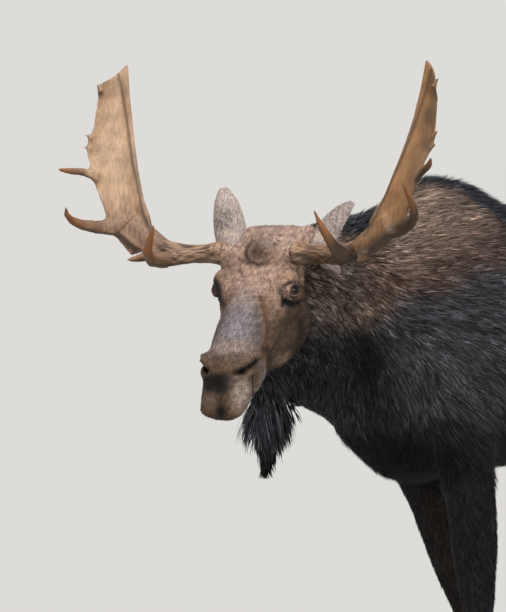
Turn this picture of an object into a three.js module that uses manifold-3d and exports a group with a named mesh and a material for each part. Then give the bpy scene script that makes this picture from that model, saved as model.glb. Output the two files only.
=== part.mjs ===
// A bull moose standing with its head turned to its left, life size, in millimetres.
// X is to the animal's left, -Y is forward and Z is up. The floor is z = 0.
// The flesh and the antlers are lofted as rounded sections along smooth lines, joined into one body,
// and parted again by thin plane cuts where a person would name the next part.
import * as THREE from "three";
import { mergeVertices } from "three/addons/utils/BufferGeometryUtils.js";
import Module from "manifold-3d";

const wasm = await Module();
wasm.setup();

// ---------------------------------------------------------------- driving sizes
const HUMP_HEIGHT = 1911; // floor to the top of the hump, over the coat
const BRISKET_HEIGHT = 900; // floor to the lowest hair of the chest
const BACK_HEIGHT = 1695; // floor to the middle of the back
const RUMP = 1235; // from the hump back to the buttocks
const HEAD_YAW = 36; // degrees that the head is turned left of the body
const HEAD_PITCH = 43; // degrees that the line of the nose points below level
const HEAD_AT = [285, -804, 1657]; // midway between the antler bases
const SHOULDER_HEIGHT = 1150; // the forelegs swing from here
const ELBOW_HEIGHT = 985;
const STIFLE_HEIGHT = 1120; // and the hind legs from here
const CUT = 0.4; // width of the plane cuts that part the body
const EYE_RADIUS = 24;
const HOOF_LENGTH = 150;

const COLOURS = {
  coat: 0x2a221e,
  neck: 0x2b2420,
  face: 0x5b4436,
  ear: 0x93806f,
  bell: 0x17130f,
  leg: 0x33291f,
  antler: 0x94694a,
  eye: 0x1a0f0a,
  hoof: 0x28241f,
};

// ---------------------------------------------------------------- small tools
const vec = (x, y, z) => new THREE.Vector3(x, y, z);
const turn = THREE.MathUtils.degToRad;
const mix = THREE.MathUtils.lerp;

// A smooth table: rows of numbers at even steps become a function of 0..1.
function smoothRows(rows) {
  const size = rows[0].length;
  const times = Float32Array.from(rows, (_, i) => i / (rows.length - 1));
  const table = new THREE.CubicInterpolant(times, Float32Array.from(rows.flat()), size);
  return (t) => Array.from(table.evaluate(t));
}

// Closes a stack of equal rings into one skin, with a fan over each end.
function loft(rings) {
  const sides = rings[0].length;
  const middle = (ring) => ring.reduce((sum, p) => sum.add(p), vec(0, 0, 0)).divideScalar(sides);
  const points = [...rings.flat(), middle(rings[0]), middle(rings.at(-1))];
  const first = points.length - 2;
  const last = points.length - 1;
  const top = (rings.length - 1) * sides;
  const faces = [];
  for (let i = 0; i < sides; i++) {
    const next = (i + 1) % sides;
    for (let row = 0; row < top; row += sides) {
      faces.push(row + i, row + next, row + sides + next);
      faces.push(row + i, row + sides + next, row + sides + i);
    }
    faces.push(first, next, i, last, top + i, top + next);
  }
  return new THREE.BufferGeometry().setFromPoints(points).setIndex(faces);
}

// Closes two equal grids of points, a front and a back, into one thick sheet.
function thickSheet(front, back) {
  const columns = front[0].length;
  const points = [...front.flat(), ...back.flat()];
  const behind = front.length * columns;
  const faces = [];
  const quad = (a, b, c, d) => faces.push(a, b, c, a, c, d);
  for (let row = 0; row + 1 < front.length; row++) {
    for (let col = 0; col + 1 < columns; col++) {
      const a = row * columns + col;
      const b = a + columns;
      quad(a, a + 1, b + 1, b);
      quad(behind + a, behind + b, behind + b + 1, behind + a + 1);
    }
    const left = row * columns;
    const right = left + columns - 1;
    quad(left, left + columns, behind + left + columns, behind + left);
    quad(right, behind + right, behind + right + columns, right + columns);
  }
  const end = (front.length - 1) * columns;
  for (let col = 0; col + 1 < columns; col++) {
    quad(col, behind + col, behind + col + 1, col + 1);
    quad(end + col, end + col + 1, behind + end + col + 1, behind + end + col);
  }
  return new THREE.BufferGeometry().setFromPoints(points).setIndex(faces);
}

// A rounded section: half its width, its reach above and below the line, and how far each end is pinched.
function section(centre, across, up, [half, above, below, peak, keel], sides) {
  return Array.from({ length: sides }, (_, i) => {
    const angle = (2 * Math.PI * i) / sides;
    const side = Math.cos(angle);
    const rise = Math.sin(angle);
    const width = half * Math.sign(side) * Math.abs(side) ** (rise > 0 ? peak : keel);
    return centre
      .clone()
      .addScaledVector(across, width)
      .addScaledVector(up, rise * (rise > 0 ? above : below));
  });
}

// A limb: each row is x, y, z, half width, above, below, peak, keel, and the sections face along the line.
function limb(rows, { sides, steps, up }) {
  const row = smoothRows(rows.map((r) => [...r, 1, 1].slice(0, 8)));
  const centre = (t) => vec(...row(t).slice(0, 3));
  const rings = [];
  for (let k = 0; k <= steps; k++) {
    const t = k / steps;
    const along = centre(Math.min(1, t + 0.01)).sub(centre(Math.max(0, t - 0.01))).normalize();
    const across = up.clone().cross(along).normalize();
    rings.push(section(centre(t), across, along.clone().cross(across), row(t).slice(3), sides));
  }
  return loft(rings);
}

function solid(geometry) {
  const bare = new THREE.BufferGeometry().setAttribute("position", geometry.getAttribute("position"));
  bare.setIndex(geometry.index);
  const merged = mergeVertices(bare, 1e-3);
  const mesh = { vertProperties: merged.getAttribute("position").array, triVerts: Uint32Array.from(merged.index.array) };
  return new wasm.Manifold(new wasm.Mesh({ numProp: 3, ...mesh }));
}

function geometryOf(made) {
  const mesh = made.getMesh();
  const geometry = new THREE.BufferGeometry();
  geometry.setAttribute("position", new THREE.BufferAttribute(mesh.vertProperties, 3));
  geometry.setIndex(new THREE.BufferAttribute(mesh.triVerts, 1));
  geometry.computeVertexNormals();
  return geometry;
}

const join = (solids) => solids.reduce((whole, next) => whole.add(next));
const mirrored = (rows) => rows.map(([x, ...rest]) => [-x, ...rest]);

function ellipsoid(centre, radii, rotation = new THREE.Quaternion()) {
  const ball = new THREE.SphereGeometry(1, 9, 6);
  return ball.applyMatrix4(new THREE.Matrix4().compose(centre, rotation, vec(...radii)));
}

// A thin square plate across a limb, which parts it there.
function plate(centre, normal, size) {
  const facing = new THREE.Quaternion().setFromUnitVectors(vec(0, 0, 1), normal.clone().normalize());
  const box = new THREE.BoxGeometry(size, size, CUT);
  return solid(box.applyMatrix4(new THREE.Matrix4().compose(centre, facing, vec(1, 1, 1))));
}

// ---------------------------------------------------------------- trunk, neck and tail
const UP = vec(0, 0, 1);
const FORWARD = vec(0, -1, 0);

function trunk() {
  const rows = [
    // x, y, z of the widest level, half width, above, below, peak, keel
    [0, RUMP, 1370, 60, 70, 80],
    [0, RUMP - 50, 1375, 175, 185, 200],
    [0, RUMP - 160, 1395, 240, 270, 290, 1.1],
    [0, 900, 1405, 278, BACK_HEIGHT + 15 - 1405, 330, 1.15],
    [0, 730, 1400, 305, BACK_HEIGHT + 15 - 1400, 360, 1.15],
    [0, 560, 1390, 325, BACK_HEIGHT + 55 - 1390, 395, 1.2],
    [0, 390, 1385, 330, 410, 425, 1.3],
    [0, 230, 1385, 315, 462, 440, 1.4, 1.05],
    [0, 90, 1390, 290, HUMP_HEIGHT - 20 - 1390, 460, 1.5, 1.1],
    [0, -40, 1395, 270, HUMP_HEIGHT - 1397, 1395 - BRISKET_HEIGHT, 1.5, 1.2],
    [0, -150, 1400, 245, 475, 1400 - BRISKET_HEIGHT - 25, 1.4, 1.25],
    [0, -250, 1415, 200, 415, 385, 1.25, 1.2],
    [0, -340, 1440, 120, 280, 270, 1.1, 1.1],
  ];
  return solid(limb(rows, { sides: 16, steps: 12, up: UP }));
}

function neck() {
  const rows = [
    [0, 20, 1430, 215, 400, 400, 1.2, 1.2],
    [6, -160, 1430, 225, 430, 470, 1.25, 1.3],
    [22, -290, 1445, 215, 350, 375, 1.2, 1.3],
    [60, -410, 1465, 195, 315, 330, 1.15, 1.3],
    [115, -520, 1490, 175, 295, 325, 1.1, 1.3],
    [170, -610, 1515, 158, 250, 310, 1.1, 1.25],
    [220, -690, 1545, 135, 210, 262, 1, 1.2],
    [262, -755, 1565, 100, 140, 180],
  ];
  return solid(limb(rows, { sides: 16, steps: 8, up: UP }));
}

function tail(room = 0) {
  const rows = [
    [0, RUMP - 120, 1600, 44, 30, 40],
    [0, RUMP - 20, 1560, 40, 26, 30],
    [0, RUMP + 34, 1490, 36, 19, 21],
    [0, RUMP + 48, 1425, 24, 12, 14],
    [0, RUMP + 44, 1388, 6, 4, 4],
  ].map(([x, y, z, ...size]) => [x, y - room, z + room, ...size.map((r) => r + room)]);
  return solid(limb(rows, { sides: 7, steps: 5, up: vec(0, 1, 0.4).normalize() }));
}

// ---------------------------------------------------------------- legs
// Rows run down the limb: above is its front and below is its back.
const FORE_LEG = [
  [70, 30, 1800, 26, 60, 80],
  [145, 0, 1640, 62, 120, 140],
  [188, -45, 1440, 84, 170, 180],
  [200, -55, 1280, 92, 185, 175],
  [192, -20, 1130, 88, 150, 160],
  [174, 22, ELBOW_HEIGHT, 77, 120, 122],
  [167, 50, 870, 71, 101, 99],
  [161, 66, 750, 64, 95, 91],
  [158, 78, 645, 57, 83, 79],
  [157, 84, 565, 54, 71, 66],
  [156, 92, 490, 43, 51, 55],
  [155, 100, 400, 34, 39, 44],
  [155, 104, 300, 32, 36, 43],
  [155, 104, 225, 36, 41, 46],
  [155, 100, 172, 40, 44, 48],
  [156, 80, 122, 37, 38, 39],
  [157, 58, 84, 41, 44, 46],
  [157, 39, 48, 38, 44, 42],
];
const HIND_LEG = [
  [120, 960, 1610, 60, 110, 120],
  [175, 965, 1450, 88, 190, 190],
  [192, 950, 1290, 98, 200, 215],
  [190, 930, STIFLE_HEIGHT + 30, 90, 175, 190],
  [178, 940, 1010, 70, 122, 130],
  [166, 985, 890, 52, 82, 88],
  [158, 1040, 785, 42, 58, 72],
  [155, 1075, 700, 43, 54, 64],
  [153, 1085, 615, 38, 46, 50],
  [152, 1072, 500, 32, 37, 41],
  [152, 1052, 380, 30, 35, 40],
  [152, 1032, 270, 33, 37, 42],
  [152, 1020, 205, 38, 41, 46],
  [152, 1010, 165, 40, 43, 47],
  [154, 990, 120, 37, 37, 38],
  [156, 968, 84, 41, 44, 46],
  [156, 949, 48, 38, 44, 42],
];
// How far each foot stands behind (+) or ahead (-) of a leg that hangs straight.
const STRIDE = { left_fore: -20, right_fore: 220, left_hind: 110, right_hind: -130 };
const PASTERN = 130; // below this a leg keeps its own slope

function swing(rows, hipHeight, shift) {
  return rows.map(([x, y, z, ...size]) => {
    const down = THREE.MathUtils.clamp((hipHeight - z) / (hipHeight - PASTERN), 0, 1);
    return [x, y + shift * down, z, ...size];
  });
}

// One claw of a cloven hoof: flat below, pointed at the toe, its top inside the foot.
function claw(side) {
  const rows = [
    // x, y, z, half width, height
    [side * 26, 52, 0, 17, 42],
    [side * 28, 30, 0, 26, 60],
    [side * 29, -10, 0, 28, 76],
    [side * 29, -48, 0, 26, 78],
    [side * 27, -82, 0, 18, 42],
    [side * 24, -HOOF_LENGTH + 48, 0, 4, 8],
  ].map(([x, y, z, half, height]) => [x, y, z, half, height, 0, 0.8, 1]);
  return limb(rows, { sides: 8, steps: 4, up: UP });
}

function dewclaw(side, room = 0) {
  const rows = [
    [side * 20, 30 - 2 * room, 152 + room, 13, 13, 13],
    [side * 26, 52, 140, 13, 14, 14],
    [side * 30, 66, 122, 9, 11, 11],
    [side * 31, 72, 102, 2, 3, 3],
  ].map(([x, y, z, ...size]) => [x, y, z, ...size.map((r) => r + room)]);
  return limb(rows, { sides: 5, steps: 2, up: vec(0, 1, 0) });
}

// A whole leg with its claws and dewclaws, and the plates that part them.
function leg(name, rows, hipHeight, side) {
  const placed = swing(rows, hipHeight, STRIDE[name]).map(([x, ...rest]) => [x * side, ...rest]);
  const [footX, footY] = placed.at(-2);
  const foot = new THREE.Matrix4().makeTranslation(footX, footY, 0);
  const at = (x, y, z) => vec(x, y, z).applyMatrix4(foot);
  const body = solid(limb(placed, { sides: 8, steps: 14, up: FORWARD }));
  const claws = [-1, 1].map((toe) => solid(claw(toe).applyMatrix4(foot)));
  const sockets = [-1, 1].map((toe) => solid(dewclaw(toe, 3 * CUT).applyMatrix4(foot)));
  return {
    solid: join([body, ...claws]).subtract(join(sockets)),
    plates: [plate(at(0, -10, 60), vec(0, 0.24, 1), 190), plate(at(0, -10, -3), vec(1, 0, 0), 150)],
    seeds: {
      [`hoof_${name}_inner`]: at(-28 * side, -40, 20),
      [`hoof_${name}_outer`]: at(28 * side, -40, 20),
      [`leg_${name}`]: vec(...placed.at(Math.floor(rows.length / 2) + 2).slice(0, 3)),
    },
    dewclaws: {
      [`dewclaw_${name}_inner`]: dewclaw(-side).applyMatrix4(foot),
      [`dewclaw_${name}_outer`]: dewclaw(side).applyMatrix4(foot),
    },
  };
}

// ---------------------------------------------------------------- head
// The head's own frame: f runs down the nose, u out of the brow and l to its left.
const headTurn = new THREE.Matrix4().makeRotationZ(turn(HEAD_YAW));
const headFrame = new THREE.Matrix4()
  .makeTranslation(...HEAD_AT)
  .multiply(headTurn)
  .multiply(new THREE.Matrix4().makeRotationX(turn(HEAD_PITCH)));
const onHead = (f, u, l) => vec(l, -f, u).applyMatrix4(headFrame);
// A second frame turns with the head but stays level: the antlers, ears and bell are set out in it.
const level = new THREE.Matrix4().makeTranslation(...HEAD_AT).multiply(headTurn);

function skull() {
  const rows = [
    // lateral, along, level of the widest part, half width, above, below, peak, keel
    [-130, -100, 72, 80, 90],
    [-85, -100, 110, 128, 130],
    [-30, -100, 120, 132, 150],
    [30, -98, 124, 122, 158],
    [90, -95, 122, 110, 152],
    [150, -93, 110, 98, 138],
    [210, -91, 97, 88, 120],
    [270, -90, 90, 82, 102],
    [325, -90, 88, 80, 94],
    [375, -92, 90, 80, 92],
    [420, -98, 86, 78, 90],
    [465, -110, 80, 72, 92],
    [502, -128, 72, 62, 90],
    [530, -146, 58, 46, 66],
    [546, -160, 24, 16, 26],
  ].map(([f, u, half, above, below]) => [0, -f, u, half, above, below, 0.95, 1.15]);
  return limb(rows, { sides: 16, steps: 13, up: UP });
}

function lowerJaw() {
  const rows = [
    [60, -195, 76, 50, 70],
    [150, -190, 68, 46, 72],
    [240, -182, 56, 40, 66],
    [330, -172, 48, 36, 46],
    [400, -164, 47, 30, 40],
    [445, -166, 44, 26, 32],
    [478, -172, 34, 16, 22],
    [490, -176, 14, 6, 8],
  ].map(([f, u, half, above, below]) => [0, -f, u, half, above, below, 1, 1]);
  return limb(rows, { sides: 8, steps: 6, up: UP });
}

function head() {
  const forms = [skull(), lowerJaw()];
  forms.push(ellipsoid(vec(0, 4, 4), [52, 46, 36])); // the dome of hair between the antlers
  for (const side of [-1, 1]) {
    forms.push(ellipsoid(vec(side * 82, -80, -40), [38, 56, 34])); // brow over the eye
    forms.push(ellipsoid(vec(side * 62, -95, -168), [56, 130, 84])); // cheek
    forms.push(ellipsoid(vec(side * 64, -388, -66), [34, 50, 34])); // rim of the nostril
  }
  let made = join(forms.map((g) => solid(g.applyMatrix4(headFrame))));
  for (const side of [-1, 1]) {
    const nostril = ellipsoid(vec(side * 92, -394, -72), [20, 26, 13]);
    made = made.subtract(solid(nostril.applyMatrix4(headFrame)));
  }
  return made;
}

function eyeball(side, room = 0) {
  const middle = onHead(94, -54, side * 99);
  return new THREE.SphereGeometry(EYE_RADIUS + room, 10, 6).translate(...middle.toArray());
}

const earBase = (side) => vec(side * 122, 118, -6);
const earWay = (side) => vec(side * 92, 100, 186 - side * 24).normalize();

function ear(side) {
  const length = 245;
  const wall = 9;
  const outer = [];
  const inner = [];
  // The ear's frame: out along its length, with its open side turned back and outwards.
  const along = earWay(side);
  const open = vec(side * 0.6, 0.9, -0.2).normalize();
  const across = along.clone().cross(open).normalize();
  const cup = across.clone().cross(along);
  const base = earBase(side);
  const shape = smoothRows([
    // radius, half opening in degrees, bow of the line
    [32, 150, 0],
    [42, 125, 6],
    [55, 98, 8],
    [57, 84, 6],
    [50, 76, 2],
    [34, 70, -4],
    [9, 64, -10],
  ]);
  for (let row = 0; row <= 6; row++) {
    const t = row / 6;
    const [radius, half, bow] = shape(t);
    const middle = base.clone().addScaledVector(along, t * length).addScaledVector(cup, bow);
    const rim = (r) =>
      Array.from({ length: 7 }, (_, i) => {
        const angle = turn(mix(-half, half, i / 6)) * side;
        return middle
          .clone()
          .addScaledVector(across, r * Math.sin(angle))
          .addScaledVector(cup, -r * Math.cos(angle));
      });
    outer.push(rim(radius));
    inner.push(rim(Math.max(radius - wall, radius * 0.3)));
  }
  const sheet = side > 0 ? thickSheet(inner, outer) : thickSheet(outer, inner);
  return solid(sheet.applyMatrix4(level));
}

function bell() {
  const rows = [
    // sideways, back, up from the head's middle, half width, reach in front and behind
    [0, 50, -290, 58, 84, 70],
    [2, 46, -370, 56, 70, 72],
    [4, 48, -440, 64, 62, 66],
    [3, 52, -500, 70, 58, 60],
    [1, 50, -548, 54, 46, 48],
    [-1, 44, -590, 35, 34, 34],
    [-2, 40, -628, 25, 24, 24],
    [-2, 38, -656, 7, 8, 8],
  ];
  return limb(rows, { sides: 9, steps: 8, up: FORWARD });
}

// ---------------------------------------------------------------- antlers
const ANTLER = {
  beam: [
    // sideways, forwards, up, half thickness, above, below
    [60, 10, 4, 34, 32, 34],
    [100, 8, 8, 33, 31, 33],
    [135, -2, 8, 29, 28, 29],
    [180, -14, 6, 28, 27, 28],
    [235, -14, 6, 29, 28, 29],
    [290, -6, 8, 31, 30, 31],
    [345, 6, 28, 27, 42, 42],
    [392, 16, 62, 22, 55, 50],
    [430, 26, 96, 15, 48, 48],
  ],
  brow: [
    [205, -6, 4, 26, 24, 26],
    [245, 20, -2, 25, 24, 25],
    [285, 68, -8, 23, 22, 24],
    [307, 112, -4, 20, 20, 21],
    [302, 150, 26, 16, 17, 17],
    [280, 176, 70, 11, 12, 12],
    [259, 190, 120, 3, 3, 3],
  ],
  spur: [
    [345, 20, 6, 20, 22, 22],
    [358, 62, -4, 16, 15, 16],
    [370, 102, -10, 10, 10, 10],
    [377, 137, -12, 3, 3, 3],
  ],
  lower: [
    [440, 12, 84, 20, 32, 32],
    [490, 34, 88, 18, 26, 26],
    [530, 84, 98, 16, 20, 20],
    [556, 130, 118, 13, 15, 15],
    [560, 175, 146, 10, 11, 11],
    [547, 208, 184, 3, 3, 3],
  ],
  upper: [
    [524, 30, 240, 13, 24, 24],
    [556, 58, 256, 12, 14, 14],
    [580, 88, 262, 11, 12, 12],
    [597, 114, 268, 9, 9, 9],
    [610, 138, 278, 3, 3, 3],
  ],
};
// How much higher the tips stand on each side: the two antlers are not quite alike.
const LIFT = {
  left: { brow: 23, palm: 14, lower: 35, upper: 14 },
  right: { brow: -23, palm: -14, lower: -35, upper: -14 },
};
const PALM_ROWS = 7;
const PALM_COLUMNS = 4;

function palm(side, lift) {
  const shape = smoothRows([
    // inner edge sideways, forwards, up; outer edge sideways, forwards, up; rim thickness, plate thickness
    [350, 0, 36, 418, 20, 14, 28, 34],
    [363, 2, 105, 478, 28, 78, 22, 28],
    [392, -16, 160, 500, 32, 135, 19, 22],
    [417, -32, 232, 522, 40, 205, 17, 18],
    [438, -56, 300, 556, 40, 275, 16, 15],
    [457, -76, 370, 566, 14, 345, 15, 14],
    [473, -92, 440, 566, -22, 410, 14, 13],
    [486, -104, 515, 564, -36, 475, 13, 12],
    [496, -116, 592, 556, -32, 528, 11, 10],
  ]);
  const cupDepth = 24;
  const grid = (face) =>
    Array.from({ length: PALM_ROWS + 1 }, (_, k) => {
      const [ix, iy, iz, ox, oy, oz, rim, thick] = shape(k / PALM_ROWS);
      return Array.from({ length: PALM_COLUMNS }, (_, j) => {
        const t = j / (PALM_COLUMNS - 1);
        const middle = Math.sin(Math.PI * t);
        const depth = face * mix(rim * (1 - t * 0.5), thick, middle) * 0.5 - cupDepth * middle;
        const rise = lift * t * (1 - k / PALM_ROWS);
        return vec(side * mix(ix, ox, t), -(mix(iy, oy, t) + depth), mix(iz, oz, t) + rise);
      });
    });
  const [front, back] = [grid(1), grid(-1)];
  return side > 0 ? thickSheet(front, back) : thickSheet(back, front);
}

function tine(rows, side, lift = 0) {
  const last = rows.length - 1;
  const placed = rows.map(([out, ahead, up, ...size], i) => [
    side * out,
    -ahead,
    up + lift * (i / last) ** 1.5,
    ...size,
  ]);
  return limb(placed, { sides: 6, steps: 6, up: vec(side * 0.25, 0.3, 1).normalize() });
}

// Small points on the palm's outer edge and at its top corner.
function snag(side, [out, ahead, up], [dx, dy, dz], radius) {
  const tip = new THREE.ConeGeometry(radius, 46, 4);
  const way = new THREE.Quaternion().setFromUnitVectors(vec(0, 1, 0), vec(side * dx, -dy, dz).normalize());
  return tip.applyQuaternion(way).translate(side * out, -ahead, up);
}

function antler(name, side) {
  const lift = LIFT[name];
  const forms = [
    tine(ANTLER.beam, side),
    palm(side, lift.palm),
    tine(ANTLER.brow, side, lift.brow),
    tine(ANTLER.spur, side),
    tine(ANTLER.lower, side, lift.lower),
    tine(ANTLER.upper, side, lift.upper),
    snag(side, [570, 18, 330], [1, 0.3, 0.3], 13),
    snag(side, [572, 6, 366], [1, 0.2, 0.6], 12),
    snag(side, [560, -36, 520], [0.7, -0.1, 1], 11),
  ];
  const at = (out, ahead, up) => vec(side * out, -ahead, up).applyMatrix4(level);
  const way = (out, ahead, up) => vec(side * out, -ahead, up).transformDirection(level);
  return {
    solid: join(forms.map((g) => solid(g.applyMatrix4(level)))),
    plates: [
      plate(at(118, 2, 8), way(1, 0, 0), 96),
      plate(at(277, 58, -8), way(0.57, 0.82, 0), 72),
      plate(at(330, 0, 20), way(0.94, 0, 0.34), 150),
      plate(at(508, 56, 92), way(0.64, 0.77, 0), 76),
      plate(at(560, 62, 257), way(0.62, 0.78, 0), 52),
    ],
    seeds: {
      [`antler_${name}_beam`]: at(225, -24, 6),
      [`antler_${name}_brow_tine`]: at(292, 166, 50 + lift.brow),
      [`antler_${name}_palm`]: at(500, -80, 420),
      [`antler_${name}_lower_tine`]: at(558, 180, 150 + lift.lower),
      [`antler_${name}_upper_tine`]: at(600, 118, 270 + lift.upper),
    },
  };
}

// ---------------------------------------------------------------- assembly
const legs = [
  leg("left_fore", FORE_LEG, SHOULDER_HEIGHT, 1),
  leg("right_fore", FORE_LEG, SHOULDER_HEIGHT, -1),
  leg("left_hind", HIND_LEG, STIFLE_HEIGHT, 1),
  leg("right_hind", HIND_LEG, STIFLE_HEIGHT, -1),
];
const antlers = [antler("left", 1), antler("right", -1)];

const sockets = [1, -1].map((side) => solid(eyeball(side, CUT)));
let whole = join([
  trunk(),
  neck(),
  head(),
  solid(bell().applyMatrix4(level)),
  ear(1),
  ear(-1),
  ...legs.map((l) => l.solid),
  ...antlers.map((a) => a.solid),
]);

const bodyPlates = [
  plate(vec(20, -285, 1430), vec(0.1, -1, 0.12), 1150),
  plate(vec(0, 200, -140).applyMatrix4(level), vec(0, 460, -110).transformDirection(level), 560),
  plate(vec(0, 48, -432).applyMatrix4(level), vec(0, 0, 1), 210),
];
for (const side of [-1, 1]) {
  bodyPlates.push(plate(vec(side * 172, side > 0 ? 30 : 75, 950), vec(side * -0.44, 0, 1), 300));
  bodyPlates.push(plate(vec(side * 192, 935, 1096), vec(side * -0.35, -0.15, 1), 400));
  const earCut = earBase(side).addScaledVector(earWay(side), 58).applyMatrix4(level);
  bodyPlates.push(plate(earCut, earWay(side).transformDirection(level), 116));
}
for (const cut of [tail(CUT), ...bodyPlates, ...sockets, ...[...legs, ...antlers].flatMap((g) => g.plates)]) {
  whole = whole.subtract(cut);
}

const seeds = {
  trunk: vec(330, 450, 1385),
  neck: vec(115, -520, 1700),
  head: onHead(250, 0, 0),
  bell: vec(0, 50, -520).applyMatrix4(level),
  ear_left: vec(210, 210, 180).applyMatrix4(level),
  ear_right: vec(-210, 210, 180).applyMatrix4(level),
  ...Object.assign({}, ...[...legs, ...antlers].map((g) => g.seeds)),
};

// The piece that lies nearest to a point, measured to its corners.
function pieceAt(pieces, point) {
  const distance = (piece) => {
    const { vertProperties: v } = piece.getMesh();
    let nearest = Infinity;
    for (let i = 0; i < v.length; i += 3) {
      nearest = Math.min(nearest, point.distanceTo(vec(v[i], v[i + 1], v[i + 2])));
    }
    return nearest;
  };
  const found = pieces.map((piece) => [distance(piece), piece]);
  return found.sort((a, b) => a[0] - b[0])[0][1];
}

const coloursOf = [
  [/^hoof|^dewclaw/, COLOURS.hoof, 0.5],
  [/^antler/, COLOURS.antler, 0.55],
  [/^ear/, COLOURS.ear, 0.9],
  [/^leg/, COLOURS.leg, 0.9],
  [/^head/, COLOURS.face, 0.9],
  [/^neck/, COLOURS.neck, 0.9],
  [/^bell/, COLOURS.bell, 0.9],
  [/^eye/, COLOURS.eye, 0.1],
  [/./, COLOURS.coat, 0.9],
];

const moose = new THREE.Group();
function show(name, geometry) {
  const [, color, roughness] = coloursOf.find(([pattern]) => pattern.test(name));
  const mesh = new THREE.Mesh(geometry, new THREE.MeshStandardMaterial({ color, roughness, metalness: 0 }));
  mesh.name = name;
  moose.add(mesh);
}

const pieces = whole.decompose();
show("tail", geometryOf(tail()));
for (const { dewclaws } of legs) {
  for (const [name, geometry] of Object.entries(dewclaws)) show(name, geometryOf(solid(geometry)));
}
for (const [name, point] of Object.entries(seeds)) show(name, geometryOf(pieceAt(pieces, point)));
for (const [name, side] of [["eye_left", 1], ["eye_right", -1]]) {
  show(name, eyeball(side));
}

// The origin is on the floor under the middle of the animal's box.
const box = new THREE.Box3().setFromObject(moose);
const middle = box.getCenter(vec(0, 0, 0));
moose.position.set(-middle.x, -middle.y, -box.min.z);

export default moose;
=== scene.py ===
# A bull moose, life size, standing with its head turned to its left. Metres; +X is to the
# animal's left, -Y is where its body faces and +Z is up.
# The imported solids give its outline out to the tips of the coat. One skin takes the place of
# the flesh, and the coat is laid over the skin as locks of hair in solid mesh.
import math
import bpy
import numpy as np
from mathutils import Matrix, Vector
from mathutils.bvhtree import BVHTree
from mathutils.kdtree import KDTree


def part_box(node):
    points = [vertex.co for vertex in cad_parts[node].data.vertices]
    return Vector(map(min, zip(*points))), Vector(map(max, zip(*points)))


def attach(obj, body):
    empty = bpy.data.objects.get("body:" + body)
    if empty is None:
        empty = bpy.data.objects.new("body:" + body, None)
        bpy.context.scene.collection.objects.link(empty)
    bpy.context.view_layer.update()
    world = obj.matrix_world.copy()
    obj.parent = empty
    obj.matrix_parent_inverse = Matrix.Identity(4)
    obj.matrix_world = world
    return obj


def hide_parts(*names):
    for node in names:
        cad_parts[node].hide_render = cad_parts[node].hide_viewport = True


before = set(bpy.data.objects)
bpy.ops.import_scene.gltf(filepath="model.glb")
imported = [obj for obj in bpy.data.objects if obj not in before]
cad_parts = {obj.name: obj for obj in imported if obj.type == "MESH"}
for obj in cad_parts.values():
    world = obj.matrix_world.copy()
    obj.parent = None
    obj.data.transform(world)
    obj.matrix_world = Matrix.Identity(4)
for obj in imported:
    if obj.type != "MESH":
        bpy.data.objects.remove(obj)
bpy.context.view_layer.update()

# ------------------------------------------------------------------ sizes, in metres
HEAD_YAW = math.radians(36)  # the head is turned this far to the left
HEAD_PITCH = math.radians(43)  # and the line of the nose points this far below level
EYE_RADIUS = 0.024
EYE_OUT = 20  # millimetres that the eyeball stands out of its socket
FACE_SHIFT = 8  # and that the face sits to the left of the line between the antlers
GAZE = (0.50, 0.45)  # how far each eye is turned to the nose and to the brow, for 1 to the side
SKIN_GRAIN = 0.015  # spacing of the skin's mesh, halved on the head and again on the face
ANTLER_GRAIN = 0.0044
HOOF_GRAIN = 0.0032
SOLE_BAND = 0.0015  # a hoof's points below this height are kept on the floor
ANTLER_WEB = 0.009  # how far an antler is swollen and shrunk again to fill its corners
DEPTH = {  # of the coat, from the tips of the hair down to the skin
    "trunk": 0.026,
    "neck": 0.030,
    "head": 0.005,
    "bell": 0.020,
    "tail": 0.012,
    "leg": 0.009,
}
LEGS = ["left_fore", "right_fore", "left_hind", "right_hind"]
FLESH = ["trunk", "neck", "head", "bell", "tail"] + ["leg_" + leg for leg in LEGS]
KINDS = ["trunk", "neck", "head", "bell", "tail", "leg", "ear"]
NECK, HEAD, BELL, TAIL, LEG, EAR = range(1, 7)  # their columns in a table of shares


def middle(node):
    low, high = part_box(node)
    return (np.array(low) + np.array(high)) / 2


def turned(yaw, pitch):
    return np.array(Matrix.Rotation(yaw, 3, "Z") @ Matrix.Rotation(pitch, 3, "X"))


# The head's own frame: f runs down the nose, u out of the brow and l to its left. Both it and
# the level frame start midway between the antler bases, which lie behind and above the eyes.
HEAD_TURN = turned(HEAD_YAW, HEAD_PITCH)
LEVEL_TURN = turned(HEAD_YAW, 0)
HEAD_AT = (middle("eye_left") + middle("eye_right")) / 2 - HEAD_TURN @ np.array((0, -0.094, -0.054))
# The floor below the middle of the hump.
HUMP_AT = HEAD_AT - np.array((0.285, -0.804, 1.657))


def head_way(f, u, l):
    """A direction down the nose, out of the brow and to the left, of length 1."""
    return way(HEAD_TURN @ np.array((l, -f, u), float))


def in_head(points):
    """Millimetres down the nose, out of the brow and to the left, for each point."""
    local = (points - HEAD_AT) @ HEAD_TURN * 1000
    return -local[:, 1], local[:, 2], local[:, 0]


def on_level(out, ahead, up):
    """Millimetres in the level frame, as a place in metres."""
    return HEAD_AT + LEVEL_TURN @ np.array((out, -ahead, up)) / 1000


def level_way(out, ahead, up):
    return way(LEVEL_TURN @ np.array((out, -ahead, up), float))


def in_level(points):
    local = (points - HEAD_AT) @ LEVEL_TURN * 1000
    return local[:, 0], -local[:, 1], local[:, 2]


def from_nape(points):
    """Metres from the middle of the back of the head."""
    return np.linalg.norm(points - on_level(60, -60, -60), axis=1)


def in_face(points):
    """As in_head, but sideways from the middle of the face."""
    f, u, l = in_head(points)
    return f, u, l - FACE_SHIFT * ease(0, 240, f)


QUARTER = math.radians(24)


def from_quarter(aside, ahead, up):
    """A flat drawing, level and from a quarter to the left of the head."""
    return np.stack([aside * math.cos(QUARTER) - ahead * math.sin(QUARTER), up], 1)


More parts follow.
